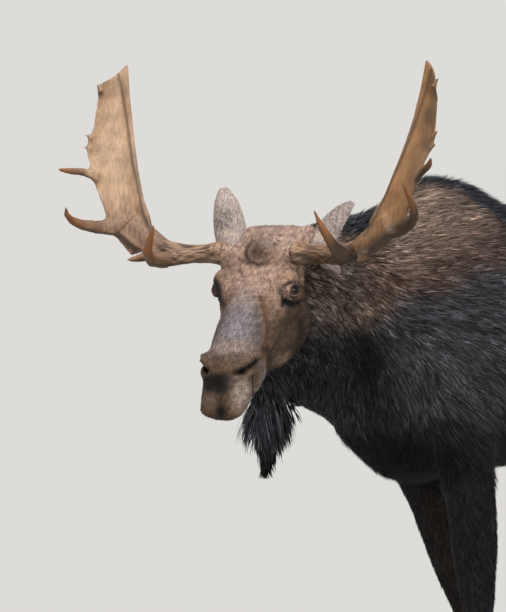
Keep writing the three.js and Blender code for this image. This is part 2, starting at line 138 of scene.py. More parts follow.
def on_plan(points, mirrored=True):
    """Millimetres across and up on that drawing. The two sides of the face share it unless it
    is not mirrored."""
    out, ahead, up = in_level(points)
    _, _, aside = in_face(points)
    if mirrored:
        aside = np.abs(aside)
    return from_quarter(aside, ahead, up)


def facing(points, normals):
    """1 where the face looks towards that drawing, 0 where it is turned away."""
    out, ahead, _ = (normals @ LEVEL_TURN).T
    side = np.sign(in_face(points)[2])
    return ease(0.02, 0.3, out * side * math.sin(QUARTER) - ahead * math.cos(QUARTER))


# ------------------------------------------------------------------ small tools
def colour(code):
    """An sRGB hex colour as linear red, green and blue."""
    values = [int(code[i : i + 2], 16) / 255 for i in (1, 3, 5)]
    return np.array([v / 12.92 if v <= 0.04045 else ((v + 0.055) / 1.055) ** 2.4 for v in values])


def rgba(code):
    return (*colour(code), 1.0)


def ease(low, high, value):
    """0 below low, 1 above high and smooth between."""
    t = np.clip((value - low) / (high - low), 0, 1)
    return t * t * (3 - 2 * t)


def unit(rows):
    return rows / np.maximum(np.linalg.norm(rows, axis=1, keepdims=True), 1e-9)


def way(vector):
    return vector / np.linalg.norm(vector)


def flat_on(rows, normals):
    """Each row laid down on the surface."""
    return unit(rows - normals * np.sum(rows * normals, axis=1, keepdims=True))


def near_line(local, line, reach):
    """1 on the line through these points, falling to nothing at about twice the reach. The line
    may be one point, and the reach may differ along each axis."""
    line = np.array(line, float) / reach
    local = local / reach
    best = np.sum((local - line[-1]) ** 2, axis=1)
    for a, b in zip(line[:-1], line[1:]):
        along = b - a
        t = np.clip((local - a) @ along / (along @ along), 0, 1)
        best = np.minimum(best, np.sum((local - a - t[:, None] * along) ** 2, axis=1))
    return np.exp(-best)


def deselect():
    if bpy.context.object and bpy.context.object.mode != "OBJECT":
        bpy.ops.object.mode_set(mode="OBJECT")
    bpy.ops.object.select_all(action="DESELECT")


def choose(obj):
    deselect()
    obj.select_set(True)
    bpy.context.view_layer.objects.active = obj
    return obj


def read(items, name, width, kind=np.float32):
    """One property of every item of a mesh, as rows of this width."""
    found = np.empty(len(items) * width, kind)
    items.foreach_get(name, found)
    return found.reshape(-1, width)


def points_of(obj):
    return read(obj.data.vertices, "co", 3).astype(float)


def set_points(obj, points):
    obj.data.vertices.foreach_set("co", points.astype(np.float32).ravel())
    obj.data.update()


def normals_of(obj):
    return read(obj.data.vertex_normals, "vector", 3).astype(float)


def triangles_of(obj):
    """The points and the loops at the corners of each triangle."""
    obj.data.calc_loop_triangles()
    rows = obj.data.loop_triangles
    return read(rows, "vertices", 3, np.int32), read(rows, "loops", 3, np.int32)


def edit(obj, step, **settings):
    """Runs one operator in edit mode on the whole of a mesh."""
    choose(obj)
    bpy.ops.object.mode_set(mode="EDIT")
    bpy.ops.mesh.select_all(action="SELECT")
    step(**settings)
    bpy.ops.object.mode_set(mode="OBJECT")


def new_mesh(name, points, faces):
    """An object from points and faces that all have the same number of corners."""
    mesh = bpy.data.meshes.new(name)
    sides = faces.shape[1]
    mesh.vertices.add(len(points))
    mesh.vertices.foreach_set("co", np.asarray(points, np.float32).ravel())
    mesh.loops.add(faces.size)
    mesh.loops.foreach_set("vertex_index", faces.astype(np.int32).ravel())
    mesh.polygons.add(len(faces))
    mesh.polygons.foreach_set("loop_start", np.arange(0, faces.size, sides, dtype=np.int32))
    mesh.update(calc_edges=True)
    mesh.shade_smooth()
    obj = bpy.data.objects.new(name, mesh)
    bpy.context.collection.objects.link(obj)
    return obj


def note(obj, name, vectors):
    """Keeps a vector for each point under this attribute name."""
    layer = obj.data.attributes.new(name, "FLOAT_VECTOR", "POINT")
    layer.data.foreach_set("vector", vectors.astype(np.float32).ravel())


def paint(obj, name, colours):
    """Keeps a colour for each point under this attribute name."""
    layer = obj.data.color_attributes.new(name, "FLOAT_COLOR", "POINT")
    full = np.ones((len(colours), 4), np.float32)
    full[:, :3] = colours
    layer.data.foreach_set("color", full.ravel())


def solid_copy(name, nodes):
    """One closed copy of these CAD nodes, with the loose triangles' corners merged."""
    deselect()
    for node in nodes:
        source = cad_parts[node]
        twin = source.copy()
        twin.data = source.data.copy()
        bpy.context.collection.objects.link(twin)
        twin.select_set(True)
        bpy.context.view_layer.objects.active = twin
    bpy.ops.object.join()
    made = bpy.context.object
    made.name = name
    made.data.name = name
    made.data.materials.clear()
    edit(made, bpy.ops.mesh.remove_doubles, threshold=0.00001)
    return made


def remesh(obj, size):
    choose(obj)
    grid = obj.modifiers.new("even", "REMESH")
    grid.mode = "VOXEL"
    grid.voxel_size = size
    bpy.ops.object.modifier_apply(modifier=grid.name)
    return obj


class Smoother:
    """Averages a value of each point with its neighbours along the edges."""

    def __init__(self, obj):
        edges = read(obj.data.edges, "vertices", 2, np.int32)
        self.a, self.b = np.concatenate([edges, edges[:, ::-1]]).T
        self.size = len(obj.data.vertices)
        self.count = np.maximum(np.bincount(self.a, minlength=self.size), 1)[:, None]

    def mean(self, values):
        sums = [np.bincount(self.a, column[self.b], self.size) for column in values.T]
        return np.stack(sums, 1) / self.count

    def spread(self, values, rounds):
        for _ in range(rounds):
            values = values * 0.5 + self.mean(values) * 0.5
        return values

    def relax(self, points, rounds, strength=1.0):
        """Smooths a shape without shrinking it. Strength is 0 to 1, for each point or for all."""
        strength = np.reshape(strength, (-1, 1))
        for _ in range(rounds):
            points = points + 0.55 * strength * (self.mean(points) - points)
            points = points - 0.56 * strength * (self.mean(points) - points)
        return points


# ------------------------------------------------------------------ the camera
def add_camera():
    eye = HUMP_AT + np.array((10.1008, -6.4921, 1.803))
    target = HUMP_AT + np.array((-0.288, -0.4941, 1.4889))
    camera = bpy.data.objects.new("camera", bpy.data.cameras.new("camera"))
    bpy.context.collection.objects.link(camera)
    camera.location = eye
    camera.rotation_euler = Vector(target - eye).to_track_quat("-Z", "Y").to_euler()
    camera.data.lens = 220.94
    camera.data.sensor_width = 36
    camera.data.clip_end = 200
    bpy.context.scene.camera = camera
    bpy.context.scene.view_settings.view_transform = "Standard"


add_camera()


# ------------------------------------------------------------------ materials
def add(tree, kind, settings=(), inputs=(), links=()):
    """Adds one node, with its settings, its sockets' values and what feeds them."""
    node = tree.nodes.new(kind)
    for name, value in dict(settings).items():
        setattr(node, name, value)
    for name, value in dict(inputs).items():
        node.inputs[name].default_value = value
    for name, source in dict(links).items():
        tree.links.new(source, node.inputs[name])
    return node


def material(name, values):
    """A material, its tree and its shader, with these values on the shader's own sockets."""
    made = bpy.data.materials.new(name)
    made.use_nodes = True
    shader = made.node_tree.nodes["Principled BSDF"]
    for socket, value in values.items():
        shader.inputs[socket].default_value = value
    return made, made.node_tree, shader


def attribute(tree, name):
    return add(tree, "ShaderNodeAttribute", {"attribute_name": name}).outputs


def place_of(tree):
    return add(tree, "ShaderNodeTexCoord").outputs["Object"]


def noise(tree, place, **inputs):
    return add(tree, "ShaderNodeTexNoise", (), inputs, {"Vector": place}).outputs["Fac"]


def ranged(tree, value, low, high, to_low, to_high):
    """This value, spread from one range to another."""
    limits = {"From Min": low, "From Max": high, "To Min": to_low, "To Max": to_high}
    return add(tree, "ShaderNodeMapRange", (), limits, {"Value": value}).outputs["Result"]


def maths(tree, operation, *sources, **settings):
    settings["operation"] = operation
    return add(tree, "ShaderNodeMath", settings, (), enumerate(sources)).outputs["Value"]


def dyed(tree, shader, tone, amount):
    """The shader takes this tone, darkened and lightened by the amount."""
    links = {0: tone, "Scale": amount}
    mixed = add(tree, "ShaderNodeVectorMath", {"operation": "SCALE"}, (), links)
    tree.links.new(mixed.outputs["Vector"], shader.inputs["Base Color"])


def lifted(tree, shader, height, strength, distance):
    """Bump on the shader."""
    inputs = {"Strength": strength, "Distance": distance}
    lift = add(tree, "ShaderNodeBump", (), inputs, {"Height": height})
    tree.links.new(lift.outputs["Normal"], shader.inputs["Normal"])


def per_metre(millimetres):
    """A noise scale whose blobs are this far apart."""
    return 1000 / millimetres


def hair(name, roughness, gleam, sheen, tint):
    """Deer guard hair: hollow, stiff and a little waxy, so that each lock has a soft gleam along
    its ridge and a dark side below it."""
    values = {"Roughness": roughness, "IOR": 1.5, "Specular IOR Level": gleam}
    values |= {"Sheen Weight": sheen, "Sheen Roughness": 0.4, "Sheen Tint": rgba(tint)}
    made, tree, shader = material(name, values)
    tone = attribute(tree, "coat")["Color"]
    speck = noise(tree, place_of(tree), Scale=per_metre(5), Detail=2)
    dyed(tree, shader, tone, ranged(tree, speck, 0.3, 0.7, 0.6, 1.35))
    return made


def velvet_hide():
    """The skin between the hairs, with the fine nap of the flattest hair as bump."""
    made, tree, shader = material("velvet hide", {"Roughness": 0.62, "Specular IOR Level": 0.15})
    tone = attribute(tree, "coat")["Color"]
    comb = attribute(tree, "comb")["Vector"]
    nap = noise(tree, comb, Scale=1.0, Detail=3, Roughness=0.6)
    dyed(tree, shader, tone, ranged(tree, nap, 0.3, 0.7, 0.55, 1.3))
    lifted(tree, shader, nap, 0.5, 0.002)
    return made


def antler_bone():
    """Hardened antler: bone rubbed clean of velvet, stained tan, with the dark grooves where the
    vessels ran, and polished where it is rubbed most."""
    made, tree, shader = material("hard antler bone", {"Roughness": 0.55, "IOR": 1.5})
    tone = attribute(tree, "stain")["Color"]
    grain = attribute(tree, "grain")["Vector"]
    vein = noise(tree, grain, Scale=1.0, Detail=4, Roughness=0.62, Distortion=0.25)
    blot = noise(tree, place_of(tree), Scale=per_metre(45), Detail=3)
    shade = ranged(tree, vein, 0.3, 0.56, 0.76, 1.06)
    cloud = ranged(tree, blot, 0.3, 0.7, 0.85, 1.1)
    dyed(tree, shader, tone, maths(tree, "MULTIPLY", shade, cloud))
    lifted(tree, shader, vein, 0.6, 0.002)
    return made


def hoof_horn():
    """Cloven hoof: keratin laid down in rings from the hairline."""
    made, tree, shader = material("hoof keratin", {"Roughness": 0.42, "IOR": 1.54})
    waves = {"Scale": per_metre(90), "Distortion": 1.5, "Detail": 2, "Detail Scale": 2}
    along_leg = {"bands_direction": "Z"}
    place = {"Vector": place_of(tree)}
    ring = add(tree, "ShaderNodeTexWave", along_leg, waves, place).outputs["Fac"]
    ends = {6: rgba("#1f1b18"), 7: rgba("#3d352e")}
    tone = add(tree, "ShaderNodeMix", {"data_type": "RGBA"}, ends, {0: ring})
    tree.links.new(tone.outputs[2], shader.inputs["Base Color"])
    lifted(tree, shader, ring, 0.4, 0.001)
    return made


def wet_eye():
    """The eyeball: brown iris and dark pupil under a clear wet cornea, which gives it one sharp
    gleam."""
    values = {"Roughness": 0.4, "IOR": 1.38, "Specular IOR Level": 0.1}
    values |= {"Coat Weight": 0.5, "Coat IOR": 1.5, "Coat Roughness": 0.02}
    made, tree, shader = material("wet eyeball", values)
    tree.links.new(attribute(tree, "iris")["Color"], shader.inputs["Base Color"])
    return made


HAIR = {
    "body": hair("moose guard hair", 0.5, 0.16, 0.03, "#9aa3b4"),
    "short": hair("close short hair", 0.5, 0.18, 0.03, "#b4b4bc"),
    "face": hair("close face hair", 0.6, 0.15, 0.04, "#c8c2c4"),
}
HIDE = velvet_hide()
ANTLER = antler_bone()
HORN = hoof_horn()
EYE = wet_eye()

# ------------------------------------------------------------------ markings
BLACK = colour("#1d1c1e")
# Black of the chest, darkened further as painted shade.
CHEST_BLACK_AND_SHADE = colour("#0e0e0f")
# Black hair of the spine and crest with a painted bluish sheen.
SPINE_BLACK_PAINTED_SHEEN = colour("#23262e")
# Painted grey sheen on the black hair of the shoulder.
SHOULDER_PAINTED_SHEEN = colour("#4b4a4d")
FLANK = colour("#413c3b")
SOOT = colour("#222327")
SADDLE = colour("#a88e7c")
SHOULDER_BROWN = colour("#735a4b")
NECK_BROWN = colour("#746559")
LEG_GREY = colour("#37302a")
STOCKING = colour("#6e6358")
# The silvery grey of a painted sheen on the tips of the guard hair.
PAINTED_SHEEN_SILVER = colour("#b0b2ba")
BELL_BLACK = colour("#2a2d31")
TAN = colour("#bb9a87")
FACE_BROWN = colour("#86684f")
POLL = colour("#bf9f8f")
FLECK_BLACK = colour("#2a1f18")
JAW_BLACK = colour("#241b15")
THROAT_BROWN = colour("#4f4034")
CHIN = colour("#8d796c")
EYE_SHADOW = colour("#2c231d")
GLAND = colour("#0f0c0b")
LID_ROSE = colour("#8f6a60")
EAR_PALE = colour("#c9b7ae")
EAR_FLECK = colour("#4a4039")
EAR_CREAM = colour("#dcc5b4")
# The marks of the face, each a colour, a line or a spot on the drawing of the face, how far it
# reaches and how strong it is.
FACE_MARKS = [
    ("#a3928c", [(-52, -138)], (52, 44), 0.75),  # bridge of the nose, its hair with a painted bluish-grey sheen
    ("#91878b", [(-66, -205)], (68, 64), 1.1),
    ("#aba0a4", [(-99, -191)], (22, 38), 0.6),
    ("#5f5c62", [(-18, -165), (-10, -217), (-8, -269)], 13, 0.7),
    ("#a8928a", [(-108, -272), (-70, -268)], (40, 17), 0.8),
    ("#5d4a3e", [(-119, -303), (-75, -299)], 13, 0.6),
    ("#62503f", [(67, -247)], (60, 62), 1.1),  # cheek
    ("#8f7862", [(60, -308)], (44, 26), 0.9),
    ("#86664f", [(19, -148)], (22, 50), 0.6),
    ("#6e4a35", [(0, -122), (12, -174), (24, -217), (14, -260), (0, -299)], 12, 0.62),
    ("#2e241c", [(15, -277), (26, -316)], 11, 0.7),
    ("#241c16", [(123, -191), (127, -234), (101, -299)], 12, 0.8),
    ("#3a2e25", [(75, -195)], (24, 24), 0.6),
    ("#b08a6a", [(58, -62), (88, -57), (123, -62), (138, -79)], 9, 0.6),  # brow, with a painted highlight along its ridge
    ("#c9a88f", [(136, -49), (142, -88)], 4, 0.6),
    ("#6b4a35", [(138, -105), (133, -148), (123, -182)], 8, 0.4),
    ("#2c231d", [(62, -101)], (13, 17), 0.8),  # round the eye: painted shade under the brow and in the fold above the eye
    ("#1c1613", [(71, -88), (88, -79), (114, -79), (127, -92)], 6, 0.9),
    ("#2c241d", [(88, -165)], (20, 18), 0.75),
    ("#0f0c0b", [(74, -134), (92, -143), (112, -138)], 13, 1.4),
    ("#0f0c0b", [(65, -118), (65, -148)], 4.5, 0.9),
    ("#8f6a60", [(79, -119), (92, -125), (110, -125), (123, -114)], 4, 0.8),
    ("#0d0a08", [(-68, -337), (-50, -332), (-30, -321), (-15, -308)], 8, 1.2),  # nostril: its slit painted dark as the shade inside it
    ("#83766d", [(1, -314), (6, -365), (-14, -405)], 12, 1.0),  # corner of the mouth
    ("#7d7078", [(52, 91)], (42, 9), 0.5),
    # Painted shade in the crescent under the knot of hair.
    ("#1f1712", [(-29, -12), (1, -24), (35, -8)], 5, 0.6),
    ("#cdb19c", [(83, 25)], (24, 14), 0.8),  # rim of the antler's base
    ("#2a1f18", [(81, 18)], 3, 0.9),
]
# The same for the knot of hair between the antlers and for the muzzle, which are not mirrored.
KNOT_MARKS = [
    ("#6c5546", [(1, 14)], (38, 33), 1.1),
    # Painted shade in the creases round the knot, and a painted highlight on its top.
    ("#2e241c", [(-20, 43), (-36, 24), (-39, 2), (-28, -16), (-2, -27), (24, -20)], 6, 0.65),
    ("#45372c", [(-6, 34), (-18, 14), (-12, -8)], 4, 0.5),
    ("#a3908a", [(18, 41), (32, 29)], 10, 0.6),
    ("#75604f", [(-96, -28), (-106, -60)], 17, 0.6),
    ("#3a2c22", [(-63, -44), (-53, -52)], 5, 0.7),
    # Brown hair beneath the root of the antler, darkened by painted shadow.
    ("#503a2a", [(84, -17), (124, -20)], 8, 0.6),
    ("#2a1f18", [(-60, 96), (-44, 78), (-72, 60)], 6, 0.3),
]
MUZZLE_MARKS = [
    ("#130f0b", [(-131, -374)], (50, 29), 1.9),
    ("#130f0b", [(-106, -360)], (30, 17), 1.0),
    ("#b09a8e", [(-59, -405)], (27, 52), 1.2),
    ("#8a7468", [(-155, -427)], (20, 26), 0.9),
    ("#1c1510", [(-120, -455)], (19, 34), 1.1),
    ("#241b16", [(-172, -470), (-110, -488), (-58, -482)], 9, 0.9),
    ("#14100d", [(-27, -350), (-26, -425), (-36, -474)], 3.5, 0.9),
    ("#b9a79d", [(-34, -380), (-33, -425), (-42, -468)], 4, 0.6),
    # Painted shade inside the nostril.
    ("#0d0a08", [(-60, -340)], (17, 9), 1.2),
]
# The dark strip before the far eye, on the drawing that is not mirrored.
FAR_EYE = [(-134, -76), (-127, -115), (-114, -146)]


def blend(base, other, amount):
    amount = np.clip(amount, 0, 1)[:, None]
    return base * (1 - amount) + other * amount


def layered(tone, layers):
    """The tone with each of these colours laid over it by its amount, in this order."""
    for shade, amount in layers:
        tone = blend(tone, shade, amount)
    return tone


def spot(points, centre, reach):
    """1 at the centre, falling to nothing at about twice the reach."""
    return np.exp(-np.sum(((points - np.array(centre)) / reach) ** 2, axis=1))


def mottle(points, size, seed):
    """Soft random patches of about this size, from -1 to 1."""
    rng = np.random.default_rng(seed)
    total = np.zeros(len(points))
    for _ in range(9):
        wave = rng.normal(0, 1, 3)
        wave *= 2.6 / size / np.linalg.norm(wave) * rng.uniform(0.6, 1.5)
        total += np.sin(points @ wave + rng.uniform(0, 6.28))
    return np.clip(total / 3.2, -1, 1)


# Where the brown of the hump ends below and above: back from the hump, and up.
BROWN_FOOT = [(-0.7, 1.56), (-0.6, 1.52), (-0.47, 1.47), (-0.27, 1.53), (-0.05, 1.6), (0.1, 1.64)]
BROWN_FOOT += [(0.6, 1.8)]
SADDLE_TOP = [(-0.3, 1.86), (-0.04, 1.87), (0.07, 1.847), (0.165, 1.78), (0.3, 1.7), (0.6, 1.5)]
# How wide the dark stripe down the spine is, further and further back.
SPINE_WIDTH = [(-0.1, 0.0), (-0.04, 0.01), (0.07, 0.035), (0.165, 0.09), (0.5, 0.12)]
# Painted shade in the groove down the front of the chest: to the side, back and up.
CHEST_GROOVE_SHADE = [(0.25, -0.42, 1.44), (0.2, -0.36, 1.32), (0.17, -0.3, 1.16), (0.16, -0.26, 1.0)]


def curve(rows, value):
    return np.interp(value, *zip(*rows))


def body_colour(points, share):
    """Brown over the hump and the side of the neck, black down the spine with a painted bluish
    sheen, a painted grey sheen on the shoulder, a black chest and belly darkened further by
    painted shade, and paler hair inside the legs. Also how much painted silvery sheen the coat's
    guard hair carries on its tips."""
    x, y, z = (points - HUMP_AT).T
    uneven = mottle(points, 0.14, 5)
    neck = np.clip(share[:, NECK] + share[:, HEAD], 0, 1)
    leg = share[:, LEG]
    # Where the shoulder's black hair carries a painted grey sheen.
    shoulder_sheen = ease(1.0, 1.2, z + 0.04 * uneven) * ease(-0.42, -0.25, y) * ease(0.6, 0.1, y)
    low = z + 0.045 * uneven - curve(BROWN_FOOT, y)
    high = z + 0.02 * uneven - curve(SADDLE_TOP, y)
    saddle = ease(0.03, -0.05, high)
    across = curve(SPINE_WIDTH, y)
    spine = ease(across + 0.03, across - 0.02, np.abs(x)) * ease(1.5, 1.65, z)
    crest = neck * ease(1.66, 1.74, z) * ease(0.14, 0.05, np.abs(x - 0.05))
    # Painted shade in the groove down the front of the chest.
    groove = near_line(np.stack([np.abs(x), y, z], 1), CHEST_GROOVE_SHADE, 0.07)
    chest = ease(1.2, 1.02, z) * ease(0.1, -0.15, y)
    shade_behind_arm = ease(0.10, 0.18, y) * ease(1.28, 1.15, z) * ease(0.5, 0.3, y)
    near_head = ease(0.44, 0.30, from_nape(points))
    inner = ease(0.168, 0.145, np.abs(x)) * ease(1.02, 0.9, z)
    layers = [
        (FLANK, ease(0.25, 0.6, y) * ease(0.95, 1.2, z)),
        (SHOULDER_PAINTED_SHEEN, shoulder_sheen * ease(0.98, 1.26, z)),
        (SHOULDER_BROWN, ease(-0.05, 0.06, low) * np.clip(saddle + ease(-0.1, -0.3, y), 0, 1)),
        (SADDLE, ease(0.05, 0.16, low) * saddle * ease(-0.36, -0.2, y)),
        # Painted bluish sheen on the black hair along the top of the back, the spine and the crest.
        (SPINE_BLACK_PAINTED_SHEEN, np.clip(1 - saddle, 0, 1) * ease(1.62, 1.72, z) + spine),
        (SPINE_BLACK_PAINTED_SHEEN, crest),
        # Black chest and belly, darkened further by painted shade in the groove, below the chest
        # and behind the arm.
        (CHEST_BLACK_AND_SHADE, groove * ease(1.46, 1.36, z)),
        (CHEST_BLACK_AND_SHADE, chest + shade_behind_arm),
        (NECK_BROWN, neck * near_head * ease(1.38, 1.51, z) * (1 - crest)),
        (SOOT, leg * ease(1.1, 0.85, z)),
        (STOCKING, leg * ease(0.55, 0.32, z + 0.03 * uneven)),
        (LEG_GREY, leg * inner * 0.8),
    ]
    tone = layered(np.tile(BLACK, (len(points), 1)), layers)
    tone = tone * (1 + 0.2 * mottle(points, 0.06, 6))[:, None]
    # Painted silvery sheen on the guard hair: most on the shoulder, little in the chest and its
    # groove, half on the legs.
    painted_sheen = 0.35 + 0.65 * shoulder_sheen * (1 - groove)
    painted_sheen *= 1 - 0.8 * np.clip(chest + groove, 0, 1)
    return tone, painted_sheen * (1 - 0.5 * leg)


def face_colour(points, normals):
    """Tan forehead and poll, grey nose with a painted bluish sheen, brown cheeks and a black and
    rosy muzzle.
    """
    f, u, l = in_face(points)
    plan, flat = on_plan(points), on_plan(points, mirrored=False)
    front = facing(points, normals)
    uneven = mottle(points, 0.026, 7)
    layers = [
        (TAN, ease(240, 120, f + 12 * uneven) * ease(-130, -70, u)),
        (POLL, ease(-10, -60, f) * ease(-160, -90, u)),
        (THROAT_BROWN, ease(-100, -150, u) * ease(330, 250, f)),
        (JAW_BLACK, ease(-200, -260, u + 14 * uneven)),
        (FACE_BROWN * 0.6, ease(350, 400, f) * 0.8),
        (CHIN, ease(400, 440, f) * ease(-60, -90, u) * (1 - front)),
        (JAW_BLACK, ease(-160, -185, u) * ease(380, 420, f)),
    ]
    for marks, sheet, there in (
        (FACE_MARKS, plan, 1.0),
        (KNOT_MARKS, flat, ease(130, 100, f)),
        (MUZZLE_MARKS, flat, ease(330, 380, f)),
    ):
        for code, line, reach, strength in marks:
            mark = strength * front * there * near_line(sheet, line, reach)
            layers.append((colour(code), mark))
    layers.append((GLAND, 0.9 * near_line(flat, FAR_EYE, 14) * ease(-40, -70, l)))
    tone = layered(np.tile(FACE_BROWN, (len(points), 1)), layers)
    # Painted light and shade of the ripples in the hair across the forehead.
    ripple = np.sin((plan[:, 1] + 7 * mottle(points, 0.05, 9)) * 2 * np.pi / 9.5)
    rippled = front * ease(-175, -120, plan[:, 1]) * ease(-40, -75, plan[:, 1])
    tone = tone * (1 + 0.1 * ripple * rippled + 0.24 * mottle(points, 0.009, 8))[:, None]
    fleck = ease(0.55, 0.85, mottle(points, 0.007, 12)) * ease(0.0, 0.7, mottle(points, 0.06, 13))
    return blend(tone, FLECK_BLACK, 0.6 * fleck * ease(120, 40, f))


# ------------------------------------------------------------------ the skin
def through(rows, t):
    """A smooth curve through even rows of numbers, read at t from 0 to 1."""
    rows = np.asarray(rows, float)
    place = np.clip(np.asarray(t, float), 0, 1) * (len(rows) - 1)
    k = np.minimum(place.astype(int), len(rows) - 2)
    s = (place - k)[:, None]
    slope = np.gradient(rows, axis=0)
    a, b, da, db = rows[k], rows[k + 1], slope[k], slope[k + 1]
    return (
        a * (2 * s**3 - 3 * s**2 + 1)
        + da * (s**3 - 2 * s**2 + s)
        + b * (3 * s**2 - 2 * s**3)
        + db * (s**3 - s**2)
    )


EAR_ROWS = [
    # radius, half its opening in degrees, bow of its line
    [32, 150, 0],
    [44, 125, 6],
    [51, 98, 8],
    [52, 84, 6],
    [48, 78, 2],
    [39, 74, -3],
    [21, 72, -8],
]
EAR_LENGTH = {1: 216, -1: 234}


def ear_frame(side):
    along = way(np.array((side * 88.0, 102, 168 - side * 38)))
    across = way(np.cross(along, (side * 0.6, 0.9, -0.2)))
    return along, across, np.cross(across, along), np.array((side * 121.0, 94, -4))


def ear_shell(side, rows=30, columns=24, lobe=False):
    """A cupped leaf of skin, its open side turned back and outwards, closed round its rim. The
    lobe is the fold at the foot of the left ear that hangs below the antler."""
    along, across, cup, base = ear_frame(side)
    long, size = EAR_LENGTH[side], 1.0
    if lobe:
        along = np.array((30.0, 45, -45)) / 70.4
        across = way(np.cross(along, cup))
        cup = np.cross(across, along)
        base, long, size = np.array((150.0, 128, -8)), 76, 0.48
    t = np.linspace(0, 1, rows + 1)
    shape = through(EAR_ROWS, t) * (size, 1, size)
    turn = np.radians(np.linspace(-1, 1, columns + 1)[None, :] * shape[:, 1:2]) * side
    centre = base + np.outer(t * long, along) + np.outer(shape[:, 2], cup)
    edge = 1 - np.abs(np.linspace(-1, 1, columns + 1)) ** 6
    sheets = []
    for face in (-1, 1):
        wall = face * (1.2 + (3.4 - 2.2 * t)[:, None] * edge[None, :])
        radius = shape[:, :1] - 4 * size + wall
        place = (
            centre[:, None, :]
            + across * (radius * np.sin(turn))[..., None]
            - cup * (radius * np.cos(turn))[..., None]
        )
        sheets.append(place.reshape(-1, 3))
    wide = columns + 1
    behind = (rows + 1) * wide
    faces = []
    for r in range(rows):
        for c in range(columns):
            a = r * wide + c
            faces.append((a, a + 1, a + 1 + wide, a + wide))
            faces.append((behind + a, behind + a + wide, behind + a + 1 + wide, behind + a + 1))
        left, right = r * wide, r * wide + columns
        faces.append((left, left + wide, behind + left + wide, behind + left))
        faces.append((right, behind + right, behind + right + wide, right + wide))
    for c in range(columns):
        top = rows * wide + c
        faces.append((c, behind + c, behind + c + 1, c + 1))
        faces.append((top, top + 1, behind + top + 1, behind + top))
    points = HEAD_AT + np.concatenate(sheets) @ LEVEL_TURN.T / 1000
    ear = new_mesh("ear_shell", points, np.array(faces))
    edit(ear, bpy.ops.mesh.normals_make_consistent, inside=False)
    return ear


def nearest_label(points, nodes, labels):
    """For each point, the label of the CAD node whose surface is nearest."""
    corners, faces, owner = [], [], []
    count = 0
    for node, label in zip(nodes, labels):
        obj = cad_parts[node]
        triangles, _ = triangles_of(obj)
        corners.append(points_of(obj))
        faces.append(triangles + count)
        owner.append(np.full(len(triangles), label))
        count += len(corners[-1])
    tree = BVHTree.FromPolygons(np.concatenate(corners).tolist(), np.concatenate(faces).tolist())
    nearest = [tree.find_nearest(p)[2] for p in points.tolist()]
    return np.concatenate(owner)[nearest]


def kind_shares(points):
    """For each point, which of the trunk, neck, head, bell, tail and legs it belongs to."""
    labels = [KINDS.index(node.split("_")[0]) for node in FLESH]
    return np.eye(len(KINDS))[nearest_label(points, FLESH, labels)]


def subdivide(obj, chosen_points):
    """Splits each face whose corners are all chosen."""
    choose(obj)
    mesh = obj.data
    sizes = read(mesh.polygons, "loop_total", 1, np.int32).ravel()
    corners = read(mesh.loops, "vertex_index", 1, np.int32).ravel()
    starts = np.concatenate([[0], np.cumsum(sizes)[:-1]])
    flags = np.minimum.reduceat(chosen_points[corners].astype(int), starts) > 0
    bpy.context.tool_settings.mesh_select_mode = (False, False, True)
    bpy.ops.object.mode_set(mode="EDIT")
    bpy.ops.mesh.select_all(action="DESELECT")
    bpy.ops.object.mode_set(mode="OBJECT")
    mesh.polygons.foreach_set("select", flags)
    bpy.ops.object.mode_set(mode="EDIT")
    bpy.ops.mesh.subdivide(number_cuts=1)
    bpy.ops.object.mode_set(mode="OBJECT")


BODY_FORMS = [
    # centre to the left, back and up, reach in each, and how far it swells; on both sides
    ((0.20, -0.06, 1.55), (0.12, 0.07, 0.20), 0.012),  # ridge of the shoulder blade
    ((0.27, 0.08, 1.25), (0.12, 0.12, 0.14), 0.014),  # muscle behind the arm
    ((0.24, -0.17, 1.24), (0.10, 0.07, 0.09), 0.012),  # point of the shoulder
    ((0.20, 0.17, 1.04), (0.07, 0.05, 0.05), 0.010),  # elbow
    ((0.28, 0.27, 1.20), (0.12, 0.04, 0.22), -0.014),  # fold behind the arm
    ((0.20, -0.24, 1.45), (0.10, 0.05, 0.22), -0.010),  # fold before the shoulder
    ((0.20, 0.86, 1.62), (0.09, 0.09, 0.05), 0.016),  # hip bone
    ((0.27, 0.70, 1.45), (0.12, 0.08, 0.12), -0.016),  # hollow of the flank
    ((0.23, 0.97, 1.32), (0.10, 0.14, 0.14), 0.012),  # thigh
    ((0.21, 0.80, 1.12), (0.08, 0.05, 0.06), 0.010),  # stifle
    ((0.30, 0.50, 1.35), (0.12, 0.16, 0.20), 0.010),  # barrel
]


# Flesh added to the head: centre and radii, down the nose, out of the brow and to the side.
HEAD_FLESH = [
    *(((-112, -26, l), (48, 36, 42)) for l in (-30, 0, 30, 62)),  # poll
    ((-122, -33, -68), (38, 36, 38)),
    ((-112, -60, -92), (40, 36, 36)),
    ((-112, -30, 92), (42, 38, 36)),
    ((-120, -22, 122), (34, 32, 30)),
    ((-92, -26, 112), (38, 32, 32)),
    ((165, -434, 48), (56, 56, 40)),  # throat
    *(((-58, -26, l), (40, 28, 30)) for l in (-84, 84)),
    *(((-4, 3, l), (40, 38, 35)) for l in (-106, 108)),  # roots of the antlers
    *(((360, -156, l), (82, 24, 24)) for l in (-56, 56)),  # corners of the mouth
]
